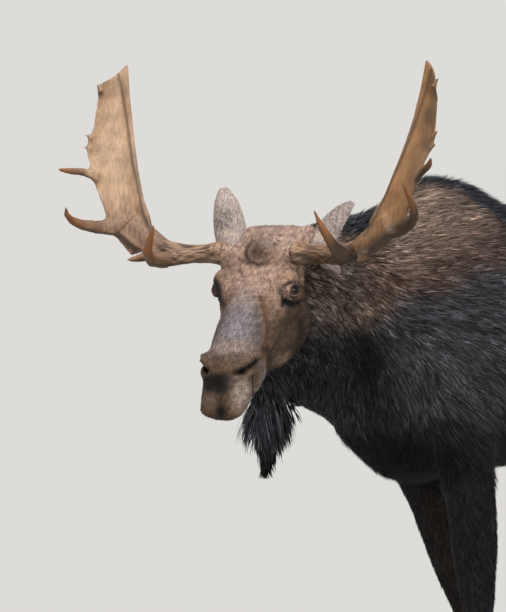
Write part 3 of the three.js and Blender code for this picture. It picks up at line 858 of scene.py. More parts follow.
# Swellings of the head: centre, reach and height in millimetres. Below zero is a hollow.
HEAD_FORMS = [
    ((94, -54, 122), (56, 50, 46), 21),  # rim of the eye socket
    ((104, -45, 142), (20, 15, 22), -7),
    ((54, -26, 112), (44, 30, 40), 14),
    ((20, -80, 118), (26, 30, 20), -5),  # temple
    ((245, -118, 92), (60, 16, 22), 4),
    ((240, -84, 92), (55, 18, 22), -4),
    ((140, -180, 104), (56, 46, 34), 6),  # cheek
    ((345, -52, 84), (26, 22, 22), -6),  # behind the nostril
    ((470, -70, 76), (40, 40, 26), -7),  # side of the muzzle
    ((528, -128, 52), (26, 22, 24), 8),  # lower corner of the lip
    ((505, -48, 0), (40, 26, 12), -3),
    ((540, -150, 0), (30, 24, 30), -6),
    ((440, -30, 0), (40, 20, 26), 4),
]
NOSTRIL = [(-78, -338), (-52, -333), (-30, -321), (-15, -308)]
# The same as lines or spots on the drawing of the face.
FACE_FORMS = [
    ([(58, -64), (88, -58), (123, -63), (138, -80)], 12, 7),  # brow
    ([(66, -90), (88, -81), (114, -81), (128, -93)], 5, -4),
    ([(65, -120), (68, -140), (92, -145), (116, -138)], 8, -7),  # tear gland
    ([(44, -160), (88, -169), (132, -158)], 11, 5),  # cheekbone
    ([(4, -122), (16, -174), (28, -217), (18, -260), (4, -299)], 13, -5),  # beside the bridge
    ([(-12, -122), (-2, -174), (8, -217), (0, -260), (-10, -295)], 11, 5),
    ([(-84, -322), (-55, -313), (-32, -302), (-12, -292)], 10, 6),  # nostril
    ([(-74, -357), (-46, -351), (-20, -339)], 9, 6),
    (NOSTRIL, 7, -17),
    ([(1, -314), (6, -365), (-14, -405)], 12, 5),  # corner of the mouth
]
KNOT_FORMS = [  # on the drawing that is not mirrored
    ([(2, 14)], (34, 31), 19),
    ([(-22, 46), (-42, 24), (-46, 0), (-33, -20), (-2, -34), (30, -26)], 6, -4),
    ([(-6, 34), (-18, 14), (-12, -8)], 5, -2),
]
LIP_FORMS = [
    ([(-38, -366), (-38, -425), (-47, -470)], 8, 4),
    ([(-27, -362), (-26, -425), (-36, -476)], 5.5, -6),
]


def head_swell(points, normals):
    """How far each point of the head is pushed out, in metres."""
    f, u, l = in_face(points)
    local = np.stack([f, u, np.abs(l)], 1)
    swell = sum(height * spot(local, centre, reach) for centre, reach, height in HEAD_FORMS)
    front = facing(points, normals) * ease(-140, -100, f)
    plan, flat = on_plan(points), on_plan(points, mirrored=False)
    far = 1 - 0.8 * ease(-50, -85, l) * ease(230, 190, f)  # the far side is smoother
    for forms, sheet, there in (
        (FACE_FORMS, plan, far),
        (KNOT_FORMS, flat, ease(80, 50, f)),
        (LIP_FORMS, flat, ease(330, 380, f)),
    ):
        for line, reach, height in forms:
            swell += front * there * height * near_line(sheet, line, reach)
    return swell / 1000


def flesh_ball(centre, radii):
    deselect()
    bpy.ops.mesh.primitive_uv_sphere_add(segments=32, ring_count=16, radius=1)
    ball = bpy.context.object
    f, u, l = (np.array(centre) + points_of(ball) * radii).T
    local = np.stack([l, -f, u], 1) / 1000
    set_points(ball, HEAD_AT + local @ HEAD_TURN.T)
    edit(ball, bpy.ops.mesh.normals_make_consistent, inside=False)
    return ball


# The lower edge of the short hair, from the cheek along the jaw: down the nose and out of the brow.
JAW = [(22, -145), (82, -235), (142, -270), (183, -284), (235, -262), (290, -238), (350, -226)]
JAW += [(440, -208)]


def behind_the_face(points):
    """0 on the face, 1 behind the cheek and under the jaw, where the long hair begins."""
    f, u, l = in_head(points)
    behind = ease(16, -16, f - (22 - 0.62 * (np.maximum(u, -145) + 145)))
    below = ease(12, -14, u - curve(JAW, f)) * ease(10, 40, f)
    return np.clip(behind * (1 - on_poll(points)) + below, 0, 1)


def on_poll(points):
    """1 on the short-haired top of the head, from the antlers back to the ears."""
    f, u, l = in_head(points)
    return ease(-115, -80, u) * ease(165, 140, np.abs(l)) * ease(-190, -160, f) * ease(80, 20, f)


# The ridge of the mane, from the back over the hump to the neck.
CREST = [(0, 0.12, 1.85), (0, -0.04, 1.9), (0, -0.24, 1.84), (0.05, -0.37, 1.8)]
CREST_HEIGHT = 0.022
CREST_REACH = 0.075
RUFF_DEPTH = 0.016  # extra room under the tips of the hair behind the face


def join_to(obj, parts):
    choose(obj)
    for part in parts:
        part.select_set(True)
    bpy.ops.object.join()


SOFTNESS = (1.0, 1.0, 0.22, 0.6, 0.5, 0.85, 0)  # how much each kind of flesh is smoothed
# Edges of the face that need the finest mesh, on its drawings.
TEAR_GLAND = [(60, -118), (60, -140), (88, -144), (112, -138)]
LIP = [(-30, -350), (-30, -425), (-40, -474)]


def close_to(skin, closeness):
    """Which points need a finer mesh: all of the head, then the face, then its fine edges."""
    points = points_of(skin)
    f, u, l = in_face(points)
    if closeness == 0:
        return (f > -150) & (f < 600) & (np.abs(l) < 175) & (u > -300) & (u < 90)
    front = facing(points, normals_of(skin)) > 0.02
    if closeness == 1:
        return front & (f > -100) & (f < 600) & (np.abs(l) < 150) & (u > -240)
    plan, flat = on_plan(points), on_plan(points, mirrored=False)
    edges = np.maximum(near_line(plan, TEAR_GLAND, 14), near_line(plan, NOSTRIL, 16))
    lip = near_line(flat, LIP, 12) * (f > 330)
    return front & (np.maximum(edges, lip) > 0.37) & (f > 0)


def make_skin():
    skin = solid_copy("skin", FLESH)
    join_to(skin, [flesh_ball(centre, radii) for centre, radii in HEAD_FLESH])
    remesh(skin, SKIN_GRAIN)
    points = points_of(skin)
    share = kind_shares(points)
    smoother = Smoother(skin)
    share = smoother.spread(share, 8)
    points = smoother.relax(points, 50, share @ np.array(SOFTNESS))
    set_points(skin, points)
    normals = normals_of(skin)
    body = points - HUMP_AT
    swell = CREST_HEIGHT * near_line(body, CREST, CREST_REACH)
    for centre, reach, height in BODY_FORMS:
        for side in (-1, 1):
            swell += height * spot(body, np.array(centre) * (side, 1, 1), reach)
    depth = share @ np.array([DEPTH.get(kind, 0) for kind in KINDS])
    upper = share[:, LEG] * ease(0.75, 1.1, body[:, 2])
    depth += upper * (DEPTH["trunk"] - DEPTH["leg"])
    depth += share[:, HEAD] * behind_the_face(points) * RUFF_DEPTH
    points = points + normals * (swell - depth)[:, None]
    f, _, _ = in_head(points)
    aside = FACE_SHIFT / 1000 * share[:, HEAD] * ease(0, 240, f)
    set_points(skin, points + aside[:, None] * head_way(0, 0, 1))
    for closeness in (0, 1, 2):
        subdivide(skin, close_to(skin, closeness))
    points = points_of(skin)
    f, _, l = in_head(points)
    fine = ((f > -140) & (f < 600) & (np.abs(l) < 180)).astype(float)
    points = Smoother(skin).relax(points, 8, fine)
    set_points(skin, points)
    normals = normals_of(skin)
    set_points(skin, points + normals * (head_swell(points, normals) * fine)[:, None])
    return skin


LID_STEPS = 48  # points round an eye
LID_CORNER = 57  # degrees from the middle of an eye to a corner of its lids
LID_UPPER = 25  # and to the middle of each lid
LID_LOWER = 28
# The rings of a lid: degrees past the edge of the opening, and millimetres off the eyeball.
LID_ROWS = [(-4, -0.8), (0, 0.3), (2, 1.2), (6, 1.9), (11, 2.0), (16, 1.3), (22, 1.6), (34, 0.4)]
LID_ROWS += [(54, -6)]


def eyelids(side):
    """A rounded lid above and below the eyeball, meeting in a corner on each side of it."""
    centre = eye_centre(side)
    gaze = head_way(*GAZE, side)
    fore = head_way(0.81, 0.54, -0.65 * side)
    fore = way(fore - gaze * (fore @ gaze))
    brow = np.cross(gaze, fore) * side
    if brow @ head_way(0, 1, 0) < 0:
        brow = -brow
    around = np.linspace(0, 2 * np.pi, LID_STEPS + 1)[:-1]
    upper = np.sin(around) > 0
    tall = np.where(upper, LID_UPPER, LID_LOWER)
    opening = 1 / np.sqrt((np.cos(around) / LID_CORNER) ** 2 + (np.sin(around) / tall) ** 2)
    places, tones = [], []
    for row, (wider, thick) in enumerate(LID_ROWS):
        angle = np.radians(opening + wider)
        reach = EYE_RADIUS + thick / 1000
        spoke = np.outer(np.cos(around), fore) + np.outer(np.sin(around), brow)
        sight = gaze * np.cos(angle)[:, None] + spoke * np.sin(angle)[:, None]
        places.append(centre + reach * sight)
        tone = np.tile(LID_ROSE if row < 4 else EYE_SHADOW, (LID_STEPS, 1))
        if row < 5:
            tone[upper] = GLAND
        elif row < 6:
            tone = blend(tone, LID_ROSE, 0.5 * (1 - upper))
        tones.append(tone)
    faces = []
    for first in range(0, LID_STEPS * (len(LID_ROWS) - 1), LID_STEPS):
        for k in range(LID_STEPS):
            a, b = first + k, first + (k + 1) % LID_STEPS
            faces.append((a, b, b + LID_STEPS, a + LID_STEPS))
    points, faces = np.concatenate(places), np.array(faces)
    a, b, c = points[faces[0, 0]], points[faces[0, 1]], points[faces[0, 2]]
    if np.cross(b - a, c - a) @ (a - centre) < 0:
        faces = faces[:, ::-1]
    return new_mesh("eyelids", points, faces), np.concatenate(tones)


def eye_centre(side):
    aside = (EYE_OUT * side + FACE_SHIFT * 0.35) / 1000
    return middle("eye_left" if side > 0 else "eye_right") + head_way(0, 0, 1) * aside


class Hide:
    """The finished skin, with what the coat needs to know at each of its points."""

    def __init__(self, skin, body_count, ear_count, lid_tones):
        self.skin = skin
        self.points = points_of(skin)
        self.normals = normals_of(skin)
        self.corners, self.loops = triangles_of(skin)
        a, b, c = (self.points[self.corners[:, i]] for i in range(3))
        self.areas = np.linalg.norm(np.cross(b - a, c - a), axis=1) / 2
        self.tree = BVHTree.FromPolygons(self.points.tolist(), self.corners.tolist())
        self.smoother = Smoother(skin)
        share = np.zeros((len(self.points), len(KINDS)))
        share[:body_count] = kind_shares(self.points[:body_count])
        for giver, taker, part in (
            (NECK, HEAD, on_poll(self.points)),
            (HEAD, NECK, behind_the_face(self.points)),
        ):
            given = part * share[:, giver]
            share[:, giver] -= given
            share[:, taker] += given
        share[body_count : body_count + ear_count, EAR] = 1
        self.share = self.smoother.spread(share, 5)
        self.lie = self.lay_of_the_hair()
        self.tone, self.painted_sheen = self.markings(self.points, self.normals, self.share)
        self.tone[-len(lid_tones) :] = lid_tones
        self.mane = near_line(self.points - HUMP_AT, CREST, 0.09)
        self.bare = np.zeros(len(self.points))
        for side in (-1, 1):
            gap = np.linalg.norm(self.points - eye_centre(side), axis=1)
            near = ease(EYE_RADIUS + 0.0024, EYE_RADIUS + 0.0018, gap)
            self.bare = np.maximum(self.bare, near)
        self.unwrap = read(skin.data.uv_layers["OFBake"].data, "uv", 2)

    def lay_of_the_hair(self):
        """The way that the hair lies at each point, from root to tip."""
        body = self.points - HUMP_AT
        x, y, z = body.T
        count = len(body)
        trunk = np.stack([np.zeros(count), np.ones(count), -0.22 - 0.25 * ease(1.5, 1.0, z)], 1)
        shoulder = ease(-0.35, -0.1, y) * ease(0.4, 0.1, y)
        trunk[:, 2] -= shoulder * ease(1.65, 1.2, z) * 0.45
        front = ease(0.05, -0.25, y)
        trunk = blend(trunk, np.array((0, 0.35, -1)), front * ease(1.5, 1.15, z))
        neck = np.array((-0.35, 0.75, -0.75))
        neck = blend(neck, np.array((-0.35, 0.95, 0.1)), ease(1.55, 1.75, z))
        neck = blend(neck, np.array((-0.1, 0.35, -1.0)), ease(1.45, 1.25, z))
        leg = np.stack([0.0 * x, 0.12 + 0.5 * ease(0.9, 1.25, z), -np.ones(count)], 1)
        bell = np.tile((0.0, 0.05, -1.0), (count, 1))
        tail = np.tile((0.0, 0.25, -1.0), (count, 1))
        f, u, l = in_head(self.points)
        aside = 0.25 * np.sign(l) * ease(0, 40, np.abs(l))
        local = np.stack([aside, np.ones(count), -0.1 + 0 * x], 1)
        cheek = ease(-90, -170, u)
        local[:, 2] -= 0.5 * cheek * ease(320, 200, f)
        local[:, 1] -= 0.3 * cheek
        face = local @ HEAD_TURN.T
        ear = np.zeros((count, 3))
        for sign in (-1, 1):
            ear[np.sign(l) == sign] = LEVEL_TURN @ ear_frame(sign)[0]
        ways = np.stack([trunk, neck, face, bell, tail, leg, ear])
        mixed = np.einsum("kni,nk->ni", np.stack([unit(w) for w in ways]), self.share)
        for _ in range(3):
            mixed = flat_on(self.smoother.spread(mixed, 4), self.normals)
        return mixed

    def markings(self, points, normals, share):
        """The coat's colour, and how much painted silvery sheen its guard hair carries."""
        tone, painted_sheen = body_colour(points, share)
        head = ease(0.2, 0.8, share[:, HEAD])
        tone = blend(tone, face_colour(points, normals), head)
        height = points[:, 2] - HUMP_AT[2]
        tone = blend(tone, BELL_BLACK, share[:, BELL] * ease(1.03, 1.16, height))
        tone = blend(tone, BLACK, share[:, TAIL] * 0.5)
        flat = on_plan(points, mirrored=False)
        fleck = ease(0.0, 0.5, mottle(points, 0.005, 11))
        dark = 0.85 * spot(flat, (-104, 105), (36, 46)) + 0.5 * ease(90, 130, flat[:, 0])
        ear = blend(np.tile(EAR_PALE, (len(tone), 1)), EAR_FLECK, fleck * dark)
        ear = blend(ear, EAR_FLECK, 0.8 * spot(flat, (164, 92), (16, 18)) + 0.38 * dark)
        cream = spot(flat, (-97, 66), (26, 12)) + spot(flat, (189, 58), (34, 14))
        ear = blend(ear, EAR_CREAM, cream)
        tone = blend(tone, ear, share[:, EAR])
        painted_sheen = painted_sheen * (1 - head) * (1 - share[:, EAR])
        return tone, painted_sheen + 1.3 * share[:, BELL] * ease(1.05, 1.16, height)

    def at(self, values, triangles, weights):
        return np.einsum("nk,nki->ni", weights, values[self.corners[triangles]])

    def scatter(self, density, rng):
        """Roots spread evenly over the triangles, density of them to a square metre."""
        wanted = self.areas * density[self.corners].mean(1)
        total = np.cumsum(wanted) + rng.random()
        counts = np.diff(np.floor(np.concatenate([[0], total]))).astype(int)
        triangles = np.repeat(np.arange(len(counts)), counts)
        a, b = rng.random((2, len(triangles)))
        over = a + b > 1
        a[over], b[over] = 1 - a[over], 1 - b[over]
        return triangles, np.stack([1 - a - b, a, b], 1)

    def nearest(self, places):
        """The closest point of the skin, its normal and the way the hair lies there."""
        found = [self.tree.find_nearest(p) for p in places.tolist()]
        touch = np.array([f[0] for f in found])
        faces = np.array([f[2] for f in found])
        normals = self.normals[self.corners[faces]].mean(1)
        lies = self.lie[self.corners[faces]].mean(1)
        return touch, unit(normals), unit(lies)


# ------------------------------------------------------------------ the coat
COAT = {
    # locks to a square metre, length, width, how high the tips stand, rings, locks to a tuft,
    # spread of shade, and how many of them carry a painted sheen on their tips
    "trunk": [
        (11000, 0.042, 0.0060, 0.015, 1, 4, 0.34, 0.3),
        (38000, 0.050, 0.0023, 0.020, 1, 4, 0.5, 1.0),
    ],
    "neck": [
        (9000, 0.055, 0.0064, 0.016, 2, 4, 0.34, 0.3),
        (27000, 0.062, 0.0024, 0.021, 2, 4, 0.5, 1.0),
    ],
    "head": [(100000, 0.0088, 0.0022, 0.0025, 1, 4, 0.24, 0.35)],
    "bell": [
        (13000, 0.110, 0.0070, 0.030, 3, 10, 0.34, 0.3),
        (11000, 0.120, 0.0030, 0.042, 3, 8, 0.5, 1.0),
    ],
    "tail": [(15000, 0.050, 0.0055, 0.011, 2, 5, 0.3, 0.4)],
    "leg": [
        (24000, 0.024, 0.0045, 0.0070, 1, 4, 0.3, 0.3),
        (14000, 0.028, 0.0024, 0.0085, 1, 4, 0.4, 0.8),
    ],
    "ear": [(42000, 0.010, 0.0025, 0.0026, 1, 4, 0.3, 0.15)],
}
MOST_TRIANGLES = 185000  # in one piece of the coat
LEAST_SHARE = 0.08  # of a kind of coat, for any of its locks to grow
PATCH = 0.0026  # each lock's own patch of the unwrap
ROOT_DEPTH = 0.0015  # how far a lock goes into the skin
LENGTH_RANGE = (0.7, 1.25)  # of a lock, for 1 in the table above
WIDTH_RANGE = (0.7, 1.3)
HEIGHT_RANGE = (0.5, 1.05)
STRAY = 0.16  # how far locks turn aside, with their neighbours and each alone
STRAY_ALONE = 0.12
TUFT_PULL = 0.6  # how far the tip of a lock leans to the middle lock of its tuft
RING_PROFILES = {  # how far along each ring of a lock stands, and how wide it is there
    1: ((0.0,), (1.0,)),
    2: ((0.0, 0.5), (0.8, 1.0)),
    3: ((0.0, 0.35, 0.7), (0.75, 1.0, 0.8)),
}


def lock_mesh(name, rings, spine, ways, ups, width, tone, tip_tone, patch, turn):
    """Locks of hair as closed three-sided spikes. spine holds the middle of each ring and the
    tip for every lock; ways and ups give its direction and its top."""
    count = len(spine)
    _, wide = RING_PROFILES[rings]
    across = unit(np.cross(ways.reshape(-1, 3), ups.reshape(-1, 3))).reshape(ways.shape)
    places, shades, uvs = [], [], []
    for ring in range(rings):
        middle_of = spine[:, ring]
        half = (width * wide[ring] / 2)[:, None]
        t = ring / rings
        for sideways, up in ((-1, -0.1), (0, 0.55), (1, -0.1)):
            tilt = up + turn * sideways * 0.5
            place = middle_of + across[:, ring] * half * sideways
            places.append(place + ups[:, ring] * half * tilt[:, None])
            shades.append(tone * (1 - t) + tip_tone * t)
            uvs.append(patch + PATCH * np.array((sideways / 2, t - 0.5)))
    places.append(spine[:, rings])
    shades.append(tip_tone)
    uvs.append(patch + PATCH * np.array((0, 0.5)))
    each = 3 * rings + 1
    points = np.stack(places, 1).reshape(-1, 3)
    colours = np.stack(shades, 1).reshape(-1, 3)
    marks = np.stack(uvs, 1).reshape(-1, 2)
    faces = [(0, 2, 1)]
    for ring in range(rings - 1):
        for k in range(3):
            a, b = 3 * ring + k, 3 * ring + (k + 1) % 3
            faces += [(a, b, b + 3), (a, b + 3, a + 3)]
    last = 3 * (rings - 1)
    faces += [(last + k, last + (k + 1) % 3, each - 1) for k in range(3)]
    faces = np.array(faces)
    all_faces = (faces[None] + np.arange(count)[:, None, None] * each).reshape(-1, 3)
    obj = new_mesh(name, points, all_faces)
    paint(obj, "coat", colours)
    layer = obj.data.uv_layers.new(name="OFBake")
    layer.data.foreach_set("uv", marks[all_faces.ravel()].astype(np.float32).ravel())
    return obj


def grow(hide, kind, layer, name, seed):
    """One layer of the coat of one part of the body, as a list of pieces."""
    per_area, length, width, stand, rings, clump, spread, gleam = layer
    rng = np.random.default_rng(seed)
    share = hide.share[:, KINDS.index(kind)]
    density = per_area * np.where(share > LEAST_SHARE, share, 0) * (1 - hide.bare)
    triangles, weights = hide.scatter(density, rng)
    count = len(triangles)
    roots = hide.at(hide.points, triangles, weights)
    normals = unit(hide.at(hide.normals, triangles, weights))
    lies = flat_on(hide.at(hide.lie, triangles, weights), normals)
    own = hide.at(hide.share, triangles, weights)
    mane = np.einsum("nk,nk->n", weights, hide.mane[hide.corners[triangles]])
    patch = np.einsum("nk,nki->ni", weights, hide.unwrap[hide.loops[triangles]])
    sideways = np.cross(lies, normals)
    stray = STRAY * mottle(roots, length * 0.7, seed) + rng.normal(0, STRAY_ALONE, count)
    lies = unit(lies + sideways * stray[:, None])
    long = length * rng.uniform(*LENGTH_RANGE, count)
    wide = width * rng.uniform(*WIDTH_RANGE, count)
    height = roots[:, 2] - HUMP_AT[2]
    if kind == "neck":
        long *= 1 - 0.5 * ease(0.44, 0.26, from_nape(roots))
    if kind == "bell":  # its locks end in a straggling point
        foot = np.where(height > 1.15, 1.085 + 0.02 * mottle(roots, 0.03, 41), 0.995)
        long = np.minimum(long, 1.1 * np.maximum(height - foot, 0) + 0.014)
    high = stand * rng.uniform(*HEIGHT_RANGE, count) * (1 + 0.35 * mane)
    if kind == "bell":
        high *= 0.2 + 0.8 * ease(1.08, 1.2, height)
    stations = [*RING_PROFILES[rings][0], 1.0]
    place, normal, heading = roots, normals, lies
    spine, ways, ups = [roots - normals * ROOT_DEPTH], [lies], [normals]
    for k in range(1, len(stations)):
        step = (stations[k] - stations[k - 1]) * long
        place = place + heading * step[:, None]
        if length > 0.04 and kind != "bell":
            place, normal, lie = hide.nearest(place)
            heading = flat_on(unit(heading * 0.45 + lie * 0.55), normal)
        rise = high * (1 - (1 - stations[k]) ** 1.6)
        spine.append(place + normal * rise[:, None])
        ways.append(heading)
        ups.append(normal)
    spine, ways, ups = (np.stack(v, 1) for v in (spine, ways, ups))
    chiefs = rng.choice(count, max(1, count // clump), replace=False)
    tree = KDTree(len(chiefs))  # the middle lock of each tuft
    for k, place in enumerate(roots[chiefs].tolist()):
        tree.insert(place, k)
    tree.balance()
    chief = np.array([tree.find(place)[1] for place in roots.tolist()])
    for k in range(1, len(stations)):
        pull = TUFT_PULL * stations[k]
        spine[:, k] = spine[:, k] * (1 - pull) + spine[chiefs[chief], k] * pull
    if kind == "neck":
        own[:, HEAD] *= 0.3  # little pale hair of the face in the long hair behind it
    tone, painted_sheen = hide.markings(roots + lies * (0.5 * long)[:, None], normals, own)
    shared = rng.normal(0, 1.0, len(chiefs))[chief]
    tone = tone * np.exp(spread * (0.8 * shared + rng.normal(-0.2, 0.8, count)))[:, None]
    # Some lock tips are lightened towards silver: a painted sheen.
    painted_sheen_tone = tone * (1.3 if kind in ("head", "ear") else 1.7) + PAINTED_SHEEN_SILVER * (0.5 * painted_sheen)[:, None]
    painted_sheen_share = np.clip(rng.random(count) ** 3.0 * (1 + 0.8 * shared), 0, 1)
    tip_tone = blend(tone, painted_sheen_tone, gleam * painted_sheen_share)
    turn = rng.uniform(-0.6, 0.6, count)
    each = 6 * (rings - 1) + 4
    parts = max(1, math.ceil(count * each / MOST_TRIANGLES))
    order = np.argsort(roots[:, 1], kind="stable")
    # Each lock runs from half its tone at the root to a little over it at the tip: painted shade
    # where the locks lie over each other.
    rows = (spine, ways, ups, wide, tip_tone * 0.5, tip_tone * 1.1, patch, turn)
    made = []
    for part, chosen in enumerate(np.array_split(order, parts)):
        title = name if parts == 1 else f"{name}_{part + 1}"
        made.append(lock_mesh(title, rings, *(row[chosen] for row in rows)))
    return made


def dress():
    skin = make_skin()
    body_count = len(skin.data.vertices)
    ears = [ear_shell(1), ear_shell(-1), ear_shell(1, lobe=True)]
    ear_count = sum(len(ear.data.vertices) for ear in ears)
    lids = [eyelids(1), eyelids(-1)]
    for part in ears + [lid for lid, _ in lids]:
        join_to(skin, [part])
    skin.data.shade_smooth()
    skin.data.uv_layers.new(name="OFBake")
    edit(skin, bpy.ops.uv.smart_project, angle_limit=math.radians(75), island_margin=0.001)
    hide = Hide(skin, body_count, ear_count, np.concatenate([tone for _, tone in lids]))
    paint(skin, "coat", hide.tone * 0.8)
    f, u, l = in_head(hide.points)
    head = (hide.share[:, HEAD] + hide.share[:, EAR])[:, None]
    on_face = np.stack([f / 14, u / 3.4, l / 3.4], 1)
    on_body = (hide.points - HUMP_AT) * 1000 / np.array((6, 24, 6))
    note(skin, "comb", on_face * head + on_body * (1 - head))
    skin.data.materials.append(HIDE)
    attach(skin, "root")
    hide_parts(*FLESH, "ear_left", "ear_right")
    seed = 100
    for kind in KINDS:
        look = {"head": "face", "leg": "short", "ear": "face"}.get(kind, "body")
        for layer, level in zip(COAT[kind], ("under", "guard")):
            seed += 1
            for piece in grow(hide, kind, layer, f"{level}hair_{kind}", seed):
                piece.data.materials.append(HAIR[look])
                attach(piece, "root")
    return hide


# ------------------------------------------------------------------ antlers
ANTLER_PARTS = {
    # which way its grain runs, and a point that it runs from: outwards, ahead and up
    "beam": ((1.0, 0.0, 0.12), (120, 0, 8)),
    "brow_tine": ((0.35, 0.85, 0.45), (275, 60, -6)),
    "palm": ((0.25, -0.1, 0.95), (400, 0, 60)),
    "lower_tine": ((0.45, 0.8, 0.35), (505, 50, 92)),
    "upper_tine": ((0.6, 0.75, 0.2), (560, 62, 257)),
}
BEAM, BROW, PALM, LOWER, UPPER = range(5)  # their columns in a table of shares
ANTLER_TAN = colour("#b59374")
ANTLER_BROWN = colour("#87634b")
# The left antler's brown, darkened as painted shade.
LEFT_ANTLER_SHADE_GOLD = colour("#8c643e")
ANTLER_DARK = colour("#36220f")
ANTLER_CREAM = colour("#c4a68e")
TINE_POLISH = colour("#8f5a2a")
# On the plan of an antler from the front, outwards and up: a crease that is smoothed away at the
# foot of the palm, two points on its outer rim, how the rim stands out round them, and the
# groove inside its front rim.
PALM_CREASE = [(378, 130), (393, 121), (453, 78), (466, 68)]
PALM_POINTS = [[(562, 363), (590, 366)], [(562, 330), (590, 327)]]
PALM_BULGE = [(535, 372), (548, 348), (540, 322)]
RIM_GROOVE = [(520, 560), (507, 510), (474, 386), (446, 293), (425, 237), (386, 124), (350, 60)]
# Painted shade on the left antler's lower edge, the foot of its brow tine and its outer rim, seen
# from a quarter to its left: line, reach and strength.
LEFT_ANTLER_SHADE = [
    ([(290, 5), (329, 24), (414, 90), (470, 122), (484, 165)], 22, 0.95),
    ([(232, 42), (246, 12), (262, -12)], 32, 1.0),
    ([(505, 425), (500, 385), (488, 330)], 14, 0.5),
]
GROOVE_DEPTH = 0.0008
BURR_HEIGHT = 0.002
KNOB_HEIGHT = 0.0018
THICKER_BROW = 0.003  # how much wider than the solids the brow tine and the root are
THICKER_ROOT = 0.006
BROW_BEND = 0.026  # how far the left brow tine bends outwards
RIM_BULGE = 0.010
# Waves across the grain that make the grooves: how steep along each axis, and where they start.
GROOVES = [((0.9, 1.1, 0.7), 0.3), ((1.6, -0.8, 1.2), 2.1), ((-0.7, 1.9, 1.6), 4.0)]


def antler_plan(points, side):
    out, _, up = in_level(points)
    return np.stack([out * side, up], 1)


def shape_antler(horn, nodes, side):
    """Rounds off the joined solids. Also returns the share that each part of the antler has in
    each point, and how far parts mix there."""
    for amount, rounds in ((ANTLER_WEB, 4), (-ANTLER_WEB, 24)):
        # swollen, closed up and shrunk again, so that a web fills the foot of each tine
        points = Smoother(horn).relax(points_of(horn), rounds)
        set_points(horn, points)
        set_points(horn, points + normals_of(horn) * amount)
        if amount > 0:
            remesh(horn, ANTLER_GRAIN)
    smoother = Smoother(horn)
    points = smoother.relax(points_of(horn), 6)
    set_points(horn, points)
    share = np.eye(len(nodes))[nearest_label(points, nodes, range(len(nodes)))]
    share = smoother.spread(share, 10)
    mixing = 1 - smoother.spread(share, 14).max(1)
    points = smoother.relax(points, 80, ease(0.02, 0.2, mixing))
    root = ease(170, 135, antler_plan(points, side)[:, 0])
    points = smoother.relax(points, 50, 0.9 * share[:, BEAM] * root)
    crease = near_line(antler_plan(points, side), PALM_CREASE, 17)
    points = smoother.relax(points, 70, 0.95 * crease)
    plan = antler_plan(points, side)
    tips = sum(near_line(plan, tip, 15) for tip in PALM_POINTS)
    points = smoother.relax(points, 12, 0.9 * tips)
    bulge = near_line(plan, PALM_BULGE, 24) * ease(500, 530, plan[:, 0])
    points = points + (RIM_BULGE * bulge)[:, None] * level_way(side, 0, 0)
    set_points(horn, points)
    return points, smoother, share, mixing


def antler_grain(place, flow, share):
    """Where each point lies in the grain of its part, drawn out along the part."""
    grain = np.zeros((len(place), 3))
    for k, (run, start) in enumerate(ANTLER_PARTS.values()):
        run = way(np.array(run))
        local = place - np.array(start)
        along = local @ run
        across = local - along[:, None] * run
        if k != PALM:  # round a beam or a tine the grooves follow its side, however it bends
            across = 0.6 * across + 15 * (flow - (flow @ run)[:, None] * run)
        length = 22 if k == PALM else 60
        grain += share[:, k : k + 1] * (across / 4.5 + along[:, None] * run / length)
    return grain


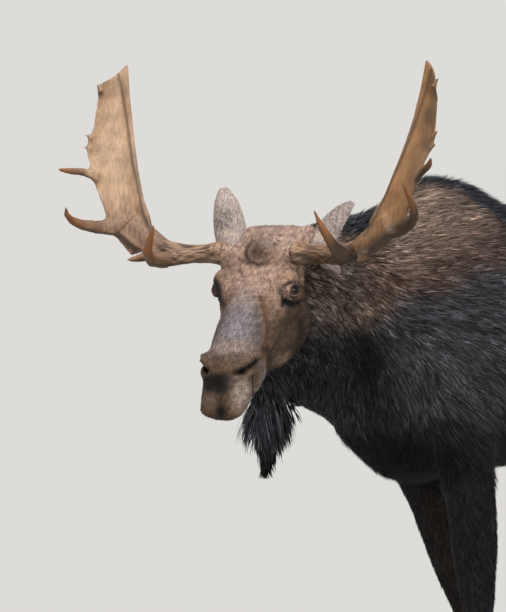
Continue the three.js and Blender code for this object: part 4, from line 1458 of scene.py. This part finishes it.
def make_antler(name, side):
    nodes = [f"antler_{name}_{part}" for part in ANTLER_PARTS]
    horn = remesh(solid_copy("antler_" + name, nodes), ANTLER_GRAIN)
    points, smoother, share, mixing = shape_antler(horn, nodes, side)
    left = side > 0
    out, ahead, up = in_level(points)
    if left:  # its brow tine bends outwards
        bend = share[:, BROW] * np.exp(-(((ahead - 75) / 42) ** 2))
        points = points + (BROW_BEND * bend)[:, None] * level_way(1, 0, 0.3)
    place = np.stack([out * side, ahead, up], 1)
    normals = normals_of(horn)
    axes = [level_way(side, 0, 0), level_way(0, 1, 0), level_way(0, 0, 1)]
    flow = smoother.spread(normals, 6) @ np.stack(axes, 1)
    grain = antler_grain(place, flow, share)
    ridge = np.sum((points - smoother.spread(points, 24)) * normals, 1)
    groove = sum(np.sin(grain @ (np.array(wave) * 1.7) + start) for wave, start in GROOVES)
    beamish = share[:, BEAM] + 0.2 * share[:, PALM]
    beamish = beamish + 0.5 * (share[:, BROW] + share[:, LOWER] + share[:, UPPER])
    beamish += 0.3 * share[:, PALM] * ease(200, 90, up)
    burr = share[:, BEAM] * ease(165, 112, out * side)
    knobs = mottle(points, 0.014, 31)
    thick = share[:, BROW] * ease(150, 70, ahead)
    root = share[:, BEAM] * ease(240, 120, out * side)
    swell = GROOVE_DEPTH * groove * beamish + burr * (BURR_HEIGHT + KNOB_HEIGHT * knobs)
    swell = swell + THICKER_BROW * thick + THICKER_ROOT * root
    set_points(horn, points + normals * swell[:, None])
    horn.data.shade_smooth()

    tips = share[:, BROW] * ease(110, 175, ahead) + share[:, LOWER] * ease(90, 170, ahead)
    tips += share[:, UPPER] * ease(80, 120, ahead)
    back = ease(-0.1, 0.5, normals @ level_way(side, -0.1, -0.2))
    # Painted shade on the underside of each antler, broader on the left one.
    under = ease(0.1, -0.8, normals[:, 2])
    if left:
        under = 1.25 * ease(0.3, -0.45, flow[:, 2])
    low = ease(210, 60, up) * ease(0.9, 0.4, share[:, UPPER]) * ease(150, 260, out * side)
    tines = share[:, BROW] + share[:, LOWER] + share[:, UPPER]
    # Both antlers are browner on their outer backs, partly their own colour and partly painted
    # shade; the whole left antler is browned further, as painted shade of the side turned from the
    # light.
    browned = (0.95 if left else 0.0) + 0.8 * back + 0.75 * low + 0.85 * tines
    stain = np.tile(ANTLER_TAN, (len(points), 1))
    stain = blend(stain, LEFT_ANTLER_SHADE_GOLD if left else ANTLER_BROWN, browned)
    stain = stain * (1 + 0.16 * mottle(points, 0.06, 32) + 0.1 * mottle(points, 0.018, 33))[:, None]
    # Painted shade in the crook where the brow tine leaves the beam, strongest on the left antler.
    elbow = spot(place, (285, 45, -12), (45, 50, 34)) * (1.1 if left else 0.35)
    layers = [
        (ANTLER_BROWN, ease(0.0006, 0.003, ridge) * ease(0.3, 0.1, mixing) * 0.9),
        (ANTLER_DARK, 0.75 * (share[:, PALM] * near_line(place[:, (0, 2)], RIM_GROOVE, 5))),
        (TINE_POLISH, tips),
        (ANTLER_DARK, elbow),
        (ANTLER_DARK, 0.7 * under * (1 - 0.5 * tips)),
    ]
    if left:
        front = from_quarter(out, ahead, up)
        for line, reach, strength in LEFT_ANTLER_SHADE:
            layers.append((ANTLER_DARK, strength * near_line(front, line, reach)))
    layers += [
        (ANTLER_CREAM, 0.15 * burr * ease(-0.6, 0.4, knobs)),
        (ANTLER_CREAM, 0.25 * share[:, BEAM] * ease(0.3, 1.6, groove)),
        (ANTLER_DARK, ease(0.3, -1.4, groove) * 0.8 * beamish * (1 - tips)),
    ]
    paint(horn, "stain", layered(stain, layers))
    note(horn, "grain", grain)
    horn.data.materials.append(ANTLER)
    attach(horn, "root")
    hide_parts(*nodes)


# ------------------------------------------------------------------ eyes
# Rings of the eye, each over the one before: the degrees from its middle where it begins and
# where it is full.
IRIS_RINGS = [("#54301f", 40, 37), ("#2c160d", 33, 25), ("#020202", 26, 21)]


def make_eye(name, side):
    centre = eye_centre(side)
    gaze = head_way(*GAZE, side)
    deselect()
    bpy.ops.mesh.primitive_uv_sphere_add(segments=48, ring_count=32, radius=EYE_RADIUS)
    ball = bpy.context.object
    ball.name = f"eyeball_{name}"
    turn = Vector((0, 0, 1)).rotation_difference(Vector(gaze)).to_matrix()
    points = points_of(ball)
    angle = np.degrees(np.arccos(np.clip(points[:, 2] / EYE_RADIUS, -1, 1)))
    bulge = 1 + 0.06 * ease(34, 12, angle)
    rings = [(colour(code), ease(outer, inner, angle)) for code, outer, inner in IRIS_RINGS]
    tone = layered(np.tile(colour("#33221c"), (len(points), 1)), rings)
    set_points(ball, points * bulge[:, None] @ np.array(turn).T + centre)
    ball.data.shade_smooth()
    paint(ball, "iris", tone)
    ball.data.materials.append(EYE)
    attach(ball, "root")
    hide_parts("eye_" + name)


# ------------------------------------------------------------------ hooves
def make_hooves(leg):
    nodes = [f"{kind}_{leg}_{half}" for kind in ("hoof", "dewclaw") for half in ("inner", "outer")]
    hoof = remesh(solid_copy("hooves_" + leg, nodes), HOOF_GRAIN)
    points = points_of(hoof)
    sole = points[:, 2] < SOLE_BAND
    points = Smoother(hoof).relax(points, 10)
    points[sole, 2] = 0
    points[:, 2] = np.maximum(points[:, 2], 0)
    set_points(hoof, points)
    hoof.data.shade_smooth()
    hoof.data.materials.append(HORN)
    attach(hoof, "root")
    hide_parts(*nodes)


# ------------------------------------------------------------------ floor and light
PALE_GROUND = "#dedcd8"
FLOOR_SIZE = 160
FADE_FROM = 2.0  # metres from the middle, where the floor begins to take the plain tone
FADE_TO = 5.0


def straight_rays(tree):
    """1 for what is seen directly, mirrored or through something clear."""
    path = add(tree, "ShaderNodeLightPath").outputs
    two = maths(tree, "ADD", path["Is Camera Ray"], path["Is Glossy Ray"])
    return maths(tree, "ADD", two, path["Is Transmission Ray"], use_clamp=True)


def add_floor():
    """A pale studio floor. Far from the animal it takes the plain tone of the air behind."""
    deselect()
    bpy.ops.mesh.primitive_plane_add(size=FLOOR_SIZE)
    floor = bpy.context.object
    floor.name = "floor"
    values = {"Base Color": rgba(PALE_GROUND), "Roughness": 0.9}
    made, tree, shader = material("matt studio floor", values)
    far = add(tree, "ShaderNodeVectorMath", {"operation": "LENGTH"}, (), {0: place_of(tree)})
    fade = add(
        tree,
        "ShaderNodeMapRange",
        {"interpolation_type": "SMOOTHSTEP"},
        {"From Min": FADE_FROM, "From Max": FADE_TO},
        {"Value": far.outputs["Value"]},
    )
    straight = straight_rays(tree)
    seen = maths(tree, "MULTIPLY", fade.outputs["Result"], straight)
    plain = add(tree, "ShaderNodeEmission", (), {"Color": rgba(PALE_GROUND)})
    surfaces = {0: seen, 1: shader.outputs["BSDF"], 2: plain.outputs["Emission"]}
    mix = add(tree, "ShaderNodeMixShader", (), (), surfaces)
    tree.links.new(mix.outputs["Shader"], tree.nodes["Material Output"].inputs["Surface"])
    floor.data.materials.append(made)


def add_air():
    world = bpy.data.worlds.new("air")
    bpy.context.scene.world = world
    world.use_nodes = True
    tree = world.node_tree
    sky = tree.nodes["Background"]
    sky.inputs["Color"].default_value = rgba("#f4f6fa")
    sky.inputs["Strength"].default_value = 0.5
    plain = add(tree, "ShaderNodeBackground", (), {"Color": rgba(PALE_GROUND), "Strength": 1.0})
    both = {0: straight_rays(tree), 1: sky.outputs[0], 2: plain.outputs[0]}
    mix = add(tree, "ShaderNodeMixShader", (), (), both)
    tree.links.new(mix.outputs["Shader"], tree.nodes["World Output"].inputs["Surface"])


def add_lamp(name, place, target, size, power):
    lamp = bpy.data.lights.new(name, "AREA")
    lamp.shape = "DISK"
    lamp.size = size
    lamp.energy = power
    obj = bpy.data.objects.new(name, lamp)
    bpy.context.collection.objects.link(obj)
    obj.location = place
    obj.rotation_euler = (Vector(target) - Vector(place)).to_track_quat("-Z", "Y").to_euler()


dress()
make_antler("left", 1)
make_antler("right", -1)
make_eye("left", 1)
make_eye("right", -1)
for leg in LEGS:
    make_hooves(leg)
add_floor()
add_air()
add_lamp("overhead", (1.0, -1.0, 6.0), (0, 0, 1.2), 4.0, 140)
add_lamp("key", (8.0, -3.0, 5.5), (0, -0.4, 1.3), 1.8, 360)
